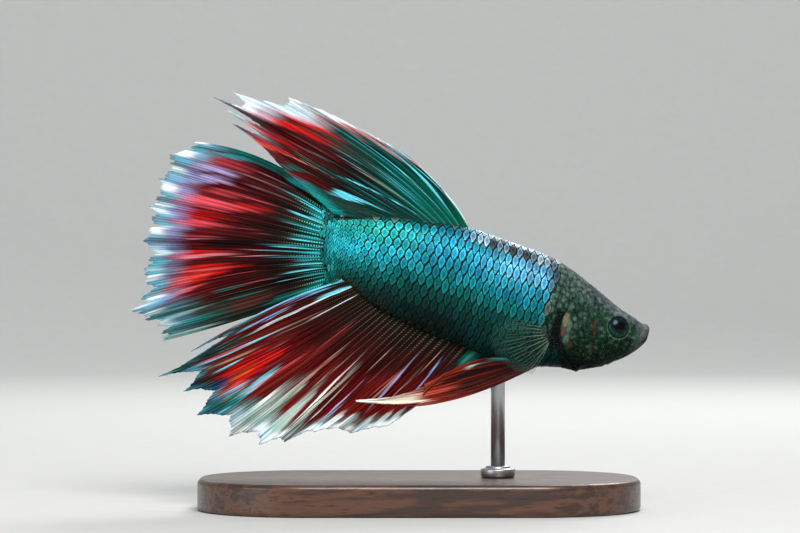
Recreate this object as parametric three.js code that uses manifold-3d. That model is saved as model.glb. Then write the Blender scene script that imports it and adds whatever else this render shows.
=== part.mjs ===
// A male fighting fish (Betta splendens) at life size, nose slightly down, on a small display stand.
// Millimetres, +Z up. The fish is modelled in a frame of its own: x = 0 at the root of the tail fin,
// +X towards the snout, -Y on its right side. That frame is then tipped and set above the stand.
import * as THREE from "three";
import { mergeVertices } from "three/addons/utils/BufferGeometryUtils.js";
import Module from "manifold-3d";

const wasm = await Module();
wasm.setup();

// ---- Driving dimensions -------------------------------------------------------------------------
const TAIL_ROOT = 0.3; // where the flesh ends and the tail fin begins
const SNOUT = 41.1; // standard length of the fish
const PITCH = THREE.MathUtils.degToRad(14.7); // the nose points this far below level
const FISH_ORIGIN = [-6.35, 0, 32.9]; // the tail root's place above the stand
const GAP = 0.3; // left between neighbouring pieces

// Height of the back and of the belly, and half the body's width, against the distance from the tail.
const BACK = [
  [0.3, 4.1], [1.8, 4.75], [6.7, 5.85], [11.8, 6.6], [16, 7.0], [20, 6.65], [25, 6.25],
  [28.5, 5.5], [32.2, 4.0], [36.6, 1.95], [39.3, 1.05], [40.5, 0.65], [41.1, 0.05],
];
const BELLY = [
  [0.3, -3.4], [1.5, -3.75], [4.4, -5.15], [8, -6.3], [13, -7.2], [18.5, -7.9], [23, -8.45],
  [26.5, -8.45], [29.5, -7.6], [33, -7.0], [36, -5.9], [38.2, -4.4], [39.8, -2.9],
  [40.8, -1.4], [41.1, -0.3],
];
const HALF_WIDTH = [
  [0.3, 0.5], [4, 1.5], [9, 2.6], [15, 3.5], [21, 3.95], [26.5, 4.15], [31, 4.05],
  [34.5, 3.45], [37.5, 2.6], [39.5, 1.7], [40.6, 0.95], [41.1, 0.3],
];
const WIDEST_AT = 0.52; // share of the height, from the belly up, where the body is widest
const ROUNDNESS = 0.9; // under 1 makes the flanks fuller than an ellipse
const ROOT_SLANT = 0.27; // the tail root leans forward towards the belly
const SLANT_FADES_BY = 8;

const MID_TRUNK = 15.5; // cuts across the body, from the tail root
const STALK = 5.2;
const NECK_LINE = [ // the rear edge of the head and gills, from above the back to below the throat
  [29.4, 9], [28.9, 3], [28.8, -1.5], [29.8, -4.5], [31.9, -6.6], [33.4, -10],
];
const GILL_SKIN_TOP = -0.8; // the dark skin behind the gill cover: its upper end, width and swelling
const GILL_SKIN_WIDTH = 1.4;
const GILL_SKIN_GROWTH = 0.45;

const EYE_RADIUS = 1.55;
const EYE_FLATNESS = 0.84;
const EYE_AT = [37.15, 1.75, -0.45];

// Fins: a few guide rays each, as root, bend and tip in the plane of the fish (x, z).
const DORSAL_RAYS = [
  [[15.8, 6.6], [12.7, 10.5], [5.2, 14.1]],
  [[15.0, 6.7], [10.1, 12.9], [-3.8, 16.1]],
  [[13.7, 6.4], [6.2, 12.8], [-11.1, 17.2]],
  [[12.1, 6.2], [1.2, 13.2], [-18.2, 16.0]],
  [[10.7, 6.0], [-1.9, 11.3], [-20.3, 14.8]],
  [[9.2, 5.8], [-2.7, 9.2], [-18.4, 13.7]],
  [[8.0, 5.6], [-2.9, 7.4], [-17.2, 12.2]],
  [[6.5, 5.3], [0.3, 6.2], [-5.0, 7.0]],
];
const TAIL_RAYS = [
  [[-0.3, 4.0], [-9.6, 10.6], [-21.6, 8.8]],
  [[-0.2, 3.1], [-10.3, 6.6], [-24.4, 6.3]],
  [[0.0, 2.0], [-10.9, 3.0], [-25.0, 2.9]],
  [[0.3, 0.9], [-11.5, 0.3], [-25.4, -0.8]],
  [[0.5, -0.1], [-11.5, -2.1], [-24.9, -5.2]],
  [[0.8, -1.1], [-11.0, -3.9], [-23.8, -8.9]],
  [[1.1, -2.0], [-8.3, -4.5], [-24.1, -14.6]],
  [[1.3, -2.6], [-6.5, -6.3], [-22.2, -15.3]],
  [[1.5, -3.2], [-5.0, -8.5], [-19.4, -16.7]],
];
const ANAL_RAYS = [
  [[3.0, -3.9], [-4.0, -7.6], [-14.8, -17.3]],
  [[3.6, -4.2], [-5.0, -9.6], [-15.5, -19.4]],
  [[4.2, -4.5], [-4.9, -12.4], [-18.0, -21.4]],
  [[5.2, -4.9], [-2.7, -13.2], [-14.4, -22.4]],
  [[6.5, -5.3], [-1.0, -14.7], [-12.0, -24.9]],
  [[8.2, -5.8], [1.7, -15.0], [-7.4, -26.5]],
  [[10.2, -6.1], [3.9, -16.0], [-3.4, -26.5]],
  [[12.2, -6.5], [6.1, -16.8], [-0.4, -25.4]],
  [[14.2, -6.8], [9.2, -16.0], [2.9, -23.1]],
  [[17.1, -7.1], [12.9, -15.0], [7.5, -22.2]],
  [[19.0, -7.3], [15.8, -13.6], [11.6, -20.1]],
  [[20.5, -7.5], [18.4, -10.9], [14.9, -16.2]],
];
const PELVIC_RAYS = [
  [[26.3, -7.6], [21.1, -8.9], [16.6, -11.7]],
  [[27.1, -7.6], [20.9, -10.5], [15.2, -14.4]],
  [[28.0, -7.4], [19.6, -13.0], [7.3, -17.7]],
  [[28.9, -7.2], [22.6, -13.3], [12.6, -16.6]],
];
const PECTORAL_RAYS = [
  [[28.2, -2.6], [25.4, -2.4], [22.3, -2.9]],
  [[28.4, -3.1], [24.9, -3.4], [21.5, -4.6]],
  [[28.5, -3.6], [25.2, -4.6], [21.4, -6.5]],
  [[28.6, -4.0], [25.9, -6.1], [23.0, -8.2]],
  [[28.8, -4.5], [27.4, -7.0], [25.3, -9.0]],
  [[28.7, -4.9], [28.5, -7.0], [27.7, -8.9]],
];

const BASE = { length: 56, depth: 32, height: 4, corner: 14, chamfer: 0.6, centre: 4 };
const ROD = { radius: 0.9, at: 23.3, collar: 2.2, collarHeight: 1.5 };

// ---- Curves and solids --------------------------------------------------------------------------

// A smooth line through [x, value] points, read at x.
function through(points, x) {
  const last = points.length - 1;
  if (x <= points[0][0]) return points[0][1];
  if (x >= points[last][0]) return points[last][1];
  let i = 0;
  while (points[i + 1][0] < x) i++;
  const slope = (a, b) => (points[b][1] - points[a][1]) / (points[b][0] - points[a][0]);
  const tangent = (k) => slope(Math.max(k - 1, 0), Math.min(k + 1, last));
  const [x0, y0] = points[i];
  const [x1, y1] = points[i + 1];
  const span = x1 - x0;
  const t = (x - x0) / span;
  const early = (1 - t) ** 2;
  const late = t * t;
  return (1 + 2 * t) * early * y0 + t * early * span * tangent(i)
    + late * (3 - 2 * t) * y1 + late * (t - 1) * span * tangent(i + 1);
}

// A point of the flesh at a distance from the tail and an angle round from the back, swollen by grow.
function fleshPoint(x, angle, grow) {
  const back = through(BACK, x) + grow;
  const belly = through(BELLY, x) - grow;
  const middle = belly + WIDEST_AT * (back - belly);
  const side = Math.sin(angle);
  const up = Math.cos(angle);
  const reach = up > 0 ? back - middle : middle - belly;
  const y = (through(HALF_WIDTH, x) + grow) * Math.sign(side) * Math.abs(side) ** ROUNDNESS;
  const z = middle + reach * up;
  const fade = Math.max(0, 1 - x / SLANT_FADES_BY);
  return new THREE.Vector3(x - ROOT_SLANT * z * fade, y, z);
}

// The whole body as one closed skin, lofted on a sphere whose poles are the tail root and the snout.
function fleshGeometry(around, along, grow = 0) {
  const geometry = new THREE.SphereGeometry(1, around, along);
  const place = geometry.getAttribute("position");
  for (let i = 0; i < place.count; i++) {
    const height = THREE.MathUtils.clamp(place.getY(i), -1, 1);
    const share = Math.acos(-height) / Math.PI;
    const eased = share * share * (3 - 2 * share) * 0.6 + share * 0.4;
    const reach = SNOUT - TAIL_ROOT + 2 * grow;
    const x = TAIL_ROOT - grow + reach * eased;
    const atPole = 1 - height * height < 1e-9;
    const angle = Math.atan2(place.getX(i), place.getZ(i));
    const p = fleshPoint(x, angle, grow);
    if (atPole) p.set(x, 0, through(BACK, x) * 0.5 + through(BELLY, x) * 0.5);
    place.setXYZ(i, p.x, p.y, p.z);
  }
  return geometry;
}

// A closed geometry as a manifold-3d solid, turned face outwards if its shaping mirrored it.
function solid(geometry) {
  const bare = new THREE.BufferGeometry();
  bare.setAttribute("position", geometry.getAttribute("position"));
  bare.setIndex(geometry.getIndex());
  const merged = mergeVertices(bare, 1e-4);
  const triVerts = new Uint32Array(merged.getIndex().array);
  const vertProperties = merged.getAttribute("position").array;
  const made = new wasm.Manifold(new wasm.Mesh({ numProp: 3, vertProperties, triVerts }));
  if (made.volume() > 0) return made;
  for (let i = 0; i < triVerts.length; i += 3) {
    [triVerts[i + 1], triVerts[i + 2]] = [triVerts[i + 2], triVerts[i + 1]];
  }
  return new wasm.Manifold(new wasm.Mesh({ numProp: 3, vertProperties, triVerts }));
}

// A solid as three.js geometry.
function geometryOf(manifold) {
  const { vertProperties, triVerts } = manifold.getMesh();
  const geometry = new THREE.BufferGeometry();
  geometry.setAttribute("position", new THREE.BufferAttribute(new Float32Array(vertProperties), 3));
  geometry.setIndex(new THREE.BufferAttribute(new Uint32Array(triVerts), 1));
  geometry.computeVertexNormals();
  return geometry;
}

// A box between two corners, as a cutting tool.
function block([x0, y0, z0], [x1, y1, z1]) {
  const box = new THREE.BoxGeometry(x1 - x0, y1 - y0, z1 - z0);
  box.translate((x0 + x1) / 2, (y0 + y1) / 2, (z0 + z1) / 2);
  return solid(box);
}

// An outline in the plane of the fish, drawn through across the body from y0 to y1.
function prism(shape, y0, y1) {
  const geometry = new THREE.ExtrudeGeometry(shape, {
    depth: y1 - y0,
    bevelEnabled: false,
    curveSegments: 10,
  });
  geometry.rotateX(Math.PI / 2);
  geometry.translate(0, y1, 0);
  return solid(geometry);
}

// ---- Fins ---------------------------------------------------------------------------------------

// One coordinate of a fin's root, bend or tip, read between its guide rays.
function alongGuides(rays, part, axis, u) {
  const points = rays.map((ray, i) => [i / (rays.length - 1), ray[part][axis]]);
  return through(points, u);
}

// How far a fin's edge falls back between its guide rays: 0 at a ray's tip, 1 half way to the next.
function betweenTips(place) {
  const share = place - Math.floor(place);
  return (1 - Math.abs(2 * share - 1)) ** 0.7;
}

// A fin: a flat box with the same number of columns between each two guide rays. Every column is a
// quadratic curve from root to edge. The edge is pointed at each guide ray, notched between them
// and finely toothed all along, both as shares of the ray's length.
function finGeometry({ rays, columnsPerRay, rows, rootThick, tipThick, notch, tooth, sideways }) {
  const columns = columnsPerRay * (rays.length - 1);
  const geometry = new THREE.BoxGeometry(1, 1, 1, columns, rows, 1);
  const place = geometry.getAttribute("position");
  for (let i = 0; i < place.count; i++) {
    const u = place.getX(i) + 0.5;
    const column = Math.round(u * columns);
    const teeth = column % 2 ? tooth : 0;
    const reach = 1 - notch(u) * betweenTips(column / columnsPerRay) - teeth;
    const v = (place.getY(i) + 0.5) * reach;
    const at = [0, 1].map((axis) => {
      const [root, bend, tip] = [0, 1, 2].map((part) => alongGuides(rays, part, axis, u));
      return (1 - v) ** 2 * root + 2 * v * (1 - v) * bend + v * v * tip;
    });
    const thick = THREE.MathUtils.lerp(rootThick, tipThick, v);
    place.setXYZ(i, at[0], sideways(u, v) + Math.sign(place.getZ(i)) * thick / 2, at[1]);
  }
  return geometry;
}

const wave = (count, u, start = 0) => Math.sin(2 * Math.PI * (count * u + start));
const { smoothstep } = THREE.MathUtils;

const DORSAL = {
  rays: DORSAL_RAYS, columnsPerRay: 4, rows: 5, rootThick: 0.9, tipThick: 0.65, tooth: 0.02,
  notch: (u) => 0.1 * smoothstep(u, 0.15, 0.35),
  sideways: (u, v) => -1.3 * u * v + 0.7 * v ** 1.5 * wave(3.5, u),
};
const TAIL = {
  rays: TAIL_RAYS, columnsPerRay: 6, rows: 5, rootThick: 0.9, tipThick: 0.85, tooth: 0.03,
  notch: () => 0.08,
  sideways: (u, v) => 6.5 * v ** 1.8 + 0.9 * v ** 1.4 * wave(6, u),
};
const ANAL = {
  rays: ANAL_RAYS, columnsPerRay: 4, rows: 5, rootThick: 0.9, tipThick: 0.75, tooth: 0.02,
  notch: (u) => 0.05 + 0.2 * (1 - u) ** 3,
  sideways: (u, v) => -0.8 * v * v + 0.9 * v ** 1.5 * wave(6, u, 0.3),
};
const PELVIC = {
  rays: PELVIC_RAYS, columnsPerRay: 2, rows: 5, rootThick: 0.8, tipThick: 0.6, tooth: 0,
  notch: () => 0.08,
  sideways: (u, v) => -1.3 - 3.0 * v + 1.2 * v * v - 0.5 * u * v,
};
const PECTORAL = {
  rays: PECTORAL_RAYS, columnsPerRay: 3, rows: 3, rootThick: 0.7, tipThick: 0.6, tooth: 0.03,
  notch: () => 0.02,
  sideways: (u, v) => -3.7 - 2.6 * v - 0.5 * v * wave(0.5, u),
};

// ---- Head cuts ----------------------------------------------------------------------------------

// The lower jaw's outline: up from the throat, along the mouth and out past the chin.
function jawOutline(inset) {
  const shape = new THREE.Shape();
  shape.moveTo(38.3 + inset, -7);
  shape.lineTo(39.0 + inset, -1.3 - inset);
  shape.lineTo(42.4, 0.95 - inset);
  shape.lineTo(42.4, -7);
  shape.closePath();
  return shape;
}

// The gill cover: an oval plate on the side of the head, its lower end leaning forward.
function gillOutline(inset) {
  const shape = new THREE.Shape();
  shape.absellipse(32.3, -2.8, 2.3 - inset, 3.8 - inset, 0, 2 * Math.PI, false, 0.32);
  return shape;
}

// Everything ahead of the neck line, moved forward by shift, as an outline.
function aheadOfNeck(shift) {
  const line = NECK_LINE.map(([x, z]) => new THREE.Vector2(x + shift, z));
  const shape = new THREE.Shape();
  shape.moveTo(line[0].x, line[0].y);
  shape.splineThru(line.slice(1));
  shape.lineTo(SNOUT + 2, line.at(-1).y);
  shape.lineTo(SNOUT + 2, line[0].y);
  shape.closePath();
  return shape;
}

// ---- Assembly -----------------------------------------------------------------------------------

const MATERIALS = {
  scales: { color: 0x2ba9b8, roughness: 0.35, metalness: 0.4 },
  headSkin: { color: 0x3a403c, roughness: 0.6, metalness: 0.1 },
  gillSkin: { color: 0x0b0f10, roughness: 0.7, metalness: 0 },
  finRed: { color: 0x8c1018, roughness: 0.5, metalness: 0 },
  finTeal: { color: 0x137a75, roughness: 0.45, metalness: 0.2 },
  finClear: { color: 0x9fb8a8, roughness: 0.4, metalness: 0 },
  eye: { color: 0x0c1c22, roughness: 0.08, metalness: 0 },
  wood: { color: 0x2a1a12, roughness: 0.4, metalness: 0 },
  steel: { color: 0xb9bcc0, roughness: 0.3, metalness: 1 },
};
const finish = Object.fromEntries(
  Object.entries(MATERIALS).map(([name, look]) => [name, new THREE.MeshStandardMaterial(look)]),
);

function mesh(name, geometry, material) {
  const made = new THREE.Mesh(geometry, material);
  made.name = name;
  return made;
}

// One side's copy of a right-hand piece: side is 1 for the right, -1 for the left.
function sided(manifold, side) {
  return side > 0 ? manifold : manifold.mirror([0, 1, 0]);
}

const AROUND = 24;
const ALONG = 34;
const WIDE = 20; // beyond the body on either side
const body = solid(fleshGeometry(AROUND, ALONG));
const clearance = solid(fleshGeometry(AROUND, ALONG, GAP));
const slice = (from, to) => block([from, -WIDE, -WIDE], [to, WIDE, WIDE]);
const below = (z) => block([0, -WIDE, -WIDE], [SNOUT + 2, WIDE, z]);
const across = (shape) => prism(shape, -WIDE, WIDE);

// The dark skin of the gill slit, a band through the throat just ahead of the neck line.
function gillSkin() {
  const swollen = solid(fleshGeometry(AROUND, ALONG, GILL_SKIN_GROWTH));
  const band = across(aheadOfNeck(GAP / 2)).subtract(across(aheadOfNeck(GILL_SKIN_WIDTH)));
  return swollen.intersect(band).intersect(below(GILL_SKIN_TOP)).subtract(across(gillOutline(0)));
}

// One eyeball, or its socket when grown by the gap.
function eyeGeometry(growth) {
  const ball = new THREE.SphereGeometry(1, 14, 8);
  const wide = EYE_RADIUS + growth;
  ball.scale(wide, EYE_RADIUS * EYE_FLATNESS + growth, wide);
  return ball;
}

function buildHead(group) {
  const plateInside = -2.1;
  const wholeHead = body.intersect(across(aheadOfNeck(GAP / 2)));
  const bandRoom = below(GILL_SKIN_TOP + GAP).subtract(across(aheadOfNeck(GILL_SKIN_WIDTH + GAP)));
  let head = wholeHead.subtract(bandRoom).subtract(across(jawOutline(0)));
  for (const side of [1, -1]) {
    const name = side > 0 ? "right" : "left";
    const [x, y, z] = EYE_AT;
    head = head.subtract(sided(solid(eyeGeometry(GAP).translate(x, -y, z)), side));
    const eye = mesh("eye_" + name, eyeGeometry(0), finish.eye);
    eye.position.set(x, -side * y, z);
    group.add(eye);

    head = head.subtract(sided(prism(gillOutline(0), -WIDE, plateInside), side));
    const plate = wholeHead.intersect(prism(gillOutline(GAP), -WIDE, plateInside - GAP));
    group.add(mesh("gill_cover_" + name, geometryOf(sided(plate, side)), finish.headSkin));
  }
  const jaw = wholeHead.intersect(across(jawOutline(GAP)));
  group.add(
    mesh("head", geometryOf(head), finish.headSkin),
    mesh("lower_jaw", geometryOf(jaw), finish.headSkin),
    mesh("gill_skin", geometryOf(gillSkin()), finish.gillSkin),
  );
}

function buildTrunk(group) {
  const half = GAP / 2;
  const behindNeck = slice(MID_TRUNK + half, SNOUT).subtract(across(aheadOfNeck(-half)));
  group.add(
    mesh("trunk_front", geometryOf(body.intersect(behindNeck)), finish.scales),
    mesh("trunk_rear", geometryOf(body.intersect(slice(STALK + half, MID_TRUNK - half))), finish.scales),
    mesh("tail_stalk", geometryOf(body.intersect(slice(-WIDE, STALK - half))), finish.scales),
  );
}

function buildFins(group) {
  const clearOfBody = (fin) => solid(finGeometry(fin)).subtract(clearance);
  group.add(
    mesh("dorsal_fin", geometryOf(clearOfBody(DORSAL)), finish.finTeal),
    mesh("tail_fin", geometryOf(clearOfBody(TAIL)), finish.finRed),
    mesh("anal_fin", geometryOf(clearOfBody(ANAL)), finish.finRed),
  );
  for (const side of [1, -1]) {
    const name = side > 0 ? "right" : "left";
    const pelvic = sided(clearOfBody(PELVIC), side);
    const pectoral = sided(clearOfBody(PECTORAL), side);
    group.add(
      mesh("pelvic_fin_" + name, geometryOf(pelvic), finish.finRed),
      mesh("pectoral_fin_" + name, geometryOf(pectoral), finish.finClear),
    );
  }
}

// The base plate, a steel collar let onto it and the rod that carries the fish under its belly.
function buildStand(group, fish) {
  const { length, depth, height, corner, chamfer, centre } = BASE;
  const outline = new THREE.Shape();
  const x = length / 2 - chamfer;
  const y = depth / 2 - chamfer;
  outline.moveTo(-x + corner, -y);
  outline.lineTo(x - corner, -y).absarc(x - corner, -y + corner, corner, -Math.PI / 2, 0);
  outline.lineTo(x, y - corner).absarc(x - corner, y - corner, corner, 0, Math.PI / 2);
  outline.lineTo(-x + corner, y).absarc(-x + corner, y - corner, corner, Math.PI / 2, Math.PI);
  outline.lineTo(-x, -y + corner).absarc(-x + corner, -y + corner, corner, Math.PI, 1.5 * Math.PI);
  const plate = new THREE.ExtrudeGeometry(outline, {
    depth: height - 2 * chamfer,
    bevelSize: chamfer,
    bevelThickness: chamfer,
    bevelSegments: 1,
    curveSegments: 6,
  });
  plate.translate(centre, 0, chamfer);

  const belly = new THREE.Vector3(ROD.at, 0, through(BELLY, ROD.at)).applyMatrix4(fish.matrix);
  const rise = Math.tan(PITCH) * ROD.radius; // the belly slopes across the rod's flat top
  const rodTop = belly.z - GAP - rise;
  const upright = (radius, from, to, sides) => {
    const rod = new THREE.CylinderGeometry(radius, radius, to - from, sides);
    rod.rotateX(Math.PI / 2);
    rod.translate(belly.x, 0, (from + to) / 2);
    return rod;
  };
  const collarTop = height + ROD.collarHeight;
  group.add(
    mesh("stand_base", plate, finish.wood),
    mesh("stand_collar", upright(ROD.collar, height, collarTop, 24), finish.steel),
    mesh("stand_rod", upright(ROD.radius, collarTop, rodTop, 20), finish.steel),
  );
}

const fish = new THREE.Group();
fish.position.set(...FISH_ORIGIN);
fish.rotation.y = PITCH;
fish.updateMatrix();
buildHead(fish);
buildTrunk(fish);
buildFins(fish);

const model = new THREE.Group();
model.add(fish);
buildStand(model, fish);

export default model;
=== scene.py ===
import functools
import math
import random

import bmesh
import bpy
from mathutils import Matrix, Vector, noise


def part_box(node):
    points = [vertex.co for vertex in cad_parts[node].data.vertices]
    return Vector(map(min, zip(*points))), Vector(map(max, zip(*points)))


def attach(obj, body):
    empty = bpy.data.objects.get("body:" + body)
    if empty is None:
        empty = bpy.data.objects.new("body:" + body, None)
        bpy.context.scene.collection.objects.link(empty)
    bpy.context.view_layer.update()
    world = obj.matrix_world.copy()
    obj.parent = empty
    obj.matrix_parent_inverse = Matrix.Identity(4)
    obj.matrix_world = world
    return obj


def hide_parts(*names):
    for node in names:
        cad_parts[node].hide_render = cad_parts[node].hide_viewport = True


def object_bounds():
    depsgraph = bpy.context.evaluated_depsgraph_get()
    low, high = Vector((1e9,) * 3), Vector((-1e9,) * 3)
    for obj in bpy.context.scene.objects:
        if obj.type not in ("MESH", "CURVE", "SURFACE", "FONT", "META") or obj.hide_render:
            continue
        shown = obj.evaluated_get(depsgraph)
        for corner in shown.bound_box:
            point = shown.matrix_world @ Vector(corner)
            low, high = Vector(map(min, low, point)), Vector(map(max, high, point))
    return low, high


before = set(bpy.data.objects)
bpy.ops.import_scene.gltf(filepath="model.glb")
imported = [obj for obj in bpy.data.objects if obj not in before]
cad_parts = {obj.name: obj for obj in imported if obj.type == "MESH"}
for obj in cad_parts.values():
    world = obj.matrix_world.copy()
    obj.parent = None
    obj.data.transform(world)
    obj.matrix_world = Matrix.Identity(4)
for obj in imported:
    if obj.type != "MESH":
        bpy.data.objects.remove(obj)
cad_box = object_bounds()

MM = 0.001

# ---- Room, camera and lamps ---------------------------------------------------------------------
# A photographer's table: a pale floor that rises in a smooth curve all round, two large soft lamps
# and one behind. The camera looks level at the right side of the fish.

low, high = cad_box
OBJECT_WIDTH = high.x - low.x
OBJECT_HEIGHT = high.z - low.z
VIEW_WIDTH = 1.524 * OBJECT_WIDTH  # the width that the camera sees at the fish
CAMERA_AWAY = 0.43
CAMERA_ASIDE = 0.0245 * OBJECT_WIDTH
CAMERA_UP = 0.581 * OBJECT_HEIGHT
SENSOR = 36.0
FLOOR_MIDDLE = 0.02  # radius of the disc that the floor is pulled out from
FLOOR_FLAT = 0.55  # radius of the flat floor
FLOOR_CURVE = 0.35  # radius of the curve that rises from it
FLAT_RINGS = 6
CURVE_RINGS = 12
WALL_TOP = 0.9
AIM = (0.0, 0.0, 0.03)
LAMPS = [  # name, place, aim, width, power, tint
    ("key_lamp", (0.05, -0.35, 0.34), AIM, 0.26, 2.5, (1.0, 0.98, 0.95)),
    ("fill_lamp", (-0.44, -0.32, 0.12), AIM, 0.34, 0.9, (0.93, 0.97, 1.0)),
    ("wall_lamp", (0.0, 0.32, 0.62), (0.0, 0.86, 0.1), 0.5, 2.0, (1.0, 1.0, 1.0)),
    ("back_lamp", (0.12, 0.36, 0.34), AIM, 0.22, 1.2, (1.0, 1.0, 1.0)),
]


def linked(made):
    bpy.context.scene.collection.objects.link(made)
    return made


def linear(red, green, blue):
    """A colour given as 0-255 screen values, as the linear colour that a shader takes."""
    shares = [value / 255 for value in (red, green, blue)]
    return [s / 12.92 if s <= 0.04045 else ((s + 0.055) / 1.055) ** 2.4 for s in shares]


def rgba(*screen):
    return (*linear(*screen), 1.0)


def knot(tree, kind, sockets=None, out=0, **settings):
    """A new shader node with its settings and its sockets filled; gives one of its outputs."""
    made = tree.nodes.new("ShaderNode" + kind)
    for name, value in settings.items():
        setattr(made, name, value)
    for name, value in (sockets or {}).items():
        socket = made.inputs[name]
        if isinstance(value, bpy.types.NodeSocket):
            tree.links.new(value, socket)
        else:
            socket.default_value = value
    return made.outputs[out]


def sums(tree, operation, first, second=0.0, third=0.0):
    return knot(tree, "Math", {0: first, 1: second, 2: third}, operation=operation)


def mixed(tree, factor, first, second, way="MIX"):
    """Two colours mixed by a factor."""
    sockets = {0: factor, 6: first, 7: second}
    return knot(tree, "Mix", sockets, 2, data_type="RGBA", blend_type=way)


def spread(tree, value, from_low, from_high, to_low=0.0, to_high=1.0):
    """A value's range made another range, eased at both ends."""
    sockets = {0: value, 1: from_low, 2: from_high, 3: to_low, 4: to_high}
    return knot(tree, "MapRange", sockets, interpolation_type="SMOOTHSTEP")


def cloud(tree, place, size, detail=3.0, roughness=0.55, out="Fac"):
    """Smooth noise whose lumps are about size metres across."""
    sockets = {"Vector": place, "Scale": 1 / size, "Detail": detail, "Roughness": roughness}
    return knot(tree, "TexNoise", sockets, out)


def own(tree, attribute, out="Fac"):
    return knot(tree, "Attribute", out=out, attribute_name=attribute)


def new_material(name, **shader):
    """A material, its tree and its Principled shader, with the values set on the shader."""
    material = bpy.data.materials.new(name)
    material.use_nodes = True
    tree = material.node_tree
    principled = tree.nodes["Principled BSDF"]
    for socket, value in shader.items():
        principled.inputs[socket.replace("_", " ")].default_value = value
    return material, tree, principled


def feed(tree, principled, **sockets):
    for name, output in sockets.items():
        tree.links.new(output, principled.inputs[name.replace("_", " ")])


def relief(tree, height, distance, strength=1.0):
    sockets = {"Height": height, "Distance": distance, "Strength": strength}
    return knot(tree, "Bump", sockets)


def room():
    bm = bmesh.new()
    bmesh.ops.create_circle(bm, cap_ends=False, segments=96, radius=FLOOR_MIDDLE)
    bmesh.ops.contextual_create(bm, geom=bm.edges[:])
    rings = [(FLOOR_FLAT * (step + 1) / FLAT_RINGS, 0.0) for step in range(FLAT_RINGS)]
    for step in range(1, CURVE_RINGS + 1):
        turn = math.pi / 2 * step / CURVE_RINGS
        out = FLOOR_FLAT + FLOOR_CURVE * math.sin(turn)
        rings.append((out, FLOOR_CURVE * (1 - math.cos(turn))))
    rings.append((FLOOR_FLAT + FLOOR_CURVE, WALL_TOP))
    edges = [edge for edge in bm.edges if edge.is_boundary]
    for out, rise in rings:
        pulled = bmesh.ops.extrude_edge_only(bm, edges=edges)["geom"]
        edges = [part for part in pulled if isinstance(part, bmesh.types.BMEdge)]
        for vert in (part for part in pulled if isinstance(part, bmesh.types.BMVert)):
            flat = Vector((vert.co.x, vert.co.y)).normalized() * out
            vert.co = (flat.x, flat.y, rise)
    mesh = bpy.data.meshes.new("room")
    bm.to_mesh(mesh)
    bm.free()
    mesh.shade_smooth()
    material, tree, shader = new_material("pale_paper", Roughness=0.9)
    place = knot(tree, "TexCoord", out="Object")
    tooth = cloud(tree, place, 0.004)
    shade = mixed(tree, tooth, rgba(196, 197, 196), rgba(203, 204, 203))
    feed(tree, shader, Base_Color=shade)
    mesh.materials.append(material)
    linked(bpy.data.objects.new("room", mesh))


def lamp(name, place, aim, width, power, tint):
    data = bpy.data.lights.new(name, "AREA")
    data.shape = "DISK"
    data.size = width
    data.energy = power
    data.color = tint
    made = linked(bpy.data.objects.new(name, data))
    made.location = place
    made.rotation_euler = (Vector(aim) - Vector(place)).to_track_quat("-Z", "Y").to_euler()


def camera():
    data = bpy.data.cameras.new("camera")
    data.sensor_width = SENSOR
    data.lens = SENSOR * CAMERA_AWAY / VIEW_WIDTH
    data.clip_start = 0.01
    made = linked(bpy.data.objects.new("camera", data))
    middle = (low + high) / 2
    made.location = (middle.x + CAMERA_ASIDE, middle.y - CAMERA_AWAY, low.z + CAMERA_UP)
    made.rotation_euler = (math.pi / 2, 0, 0)
    bpy.context.scene.camera = made


room()
camera()
for described in LAMPS:
    lamp(*described)
world = bpy.data.worlds.new("world")
world.use_nodes = True
daylight = world.node_tree.nodes["Background"].inputs
daylight["Color"].default_value = rgba(235, 238, 240)
daylight["Strength"].default_value = 0.36
bpy.context.scene.world = world
bpy.context.scene.view_settings.view_transform = "Standard"

# ---- Stand base ---------------------------------------------------------------------------------
# A solid plate of dark stained hardwood with round corners and a small eased edge, sanded and given
# a satin varnish. It lies flat on the table and the collar is let onto it.

CORNER = 14 * MM
EASED_EDGE = 0.6 * MM
WOOD_LIGHT, WOOD_DARK, WOOD_PORE = rgba(86, 52, 34), rgba(52, 30, 20), rgba(24, 13, 9)
RINGS_PER_FIGURE = 26.0  # how many growth rings the wood's noise is folded into


def piece(name, bm, material, replaced):
    """A finished mesh as an object of the model, standing for CAD nodes."""
    mesh = bpy.data.meshes.new(name)
    bm.to_mesh(mesh)
    bm.free()
    mesh.shade_smooth()
    mesh.materials.append(material)
    made = linked(bpy.data.objects.new(name, mesh))
    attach(made, "root")
    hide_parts(*replaced)
    return made


def wood():
    material, tree, shader = new_material("stained_hardwood", Coat_Weight=0.35, Coat_Roughness=0.18)
    place = knot(tree, "TexCoord", out="Object")
    stretched = knot(tree, "Mapping", {"Vector": place, "Scale": (0.09, 1.0, 1.0)})
    figure = cloud(tree, stretched, 2.2 * MM, 4.0)
    pores = cloud(tree, stretched, 0.28 * MM, 2.0, 0.7)
    rings = sums(tree, "SINE", sums(tree, "MULTIPLY", figure, RINGS_PER_FIGURE))
    tone = mixed(tree, spread(tree, rings, -1.0, 1.0), WOOD_DARK, WOOD_LIGHT)
    tone = mixed(tree, spread(tree, pores, 0.56, 0.7), tone, WOOD_PORE)
    rough = spread(tree, pores, 0.3, 0.7, 0.34, 0.5)
    feed(tree, shader, Base_Color=tone, Roughness=rough)
    feed(tree, shader, Normal=relief(tree, pores, 0.04 * MM, 0.5))
    return material


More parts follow.
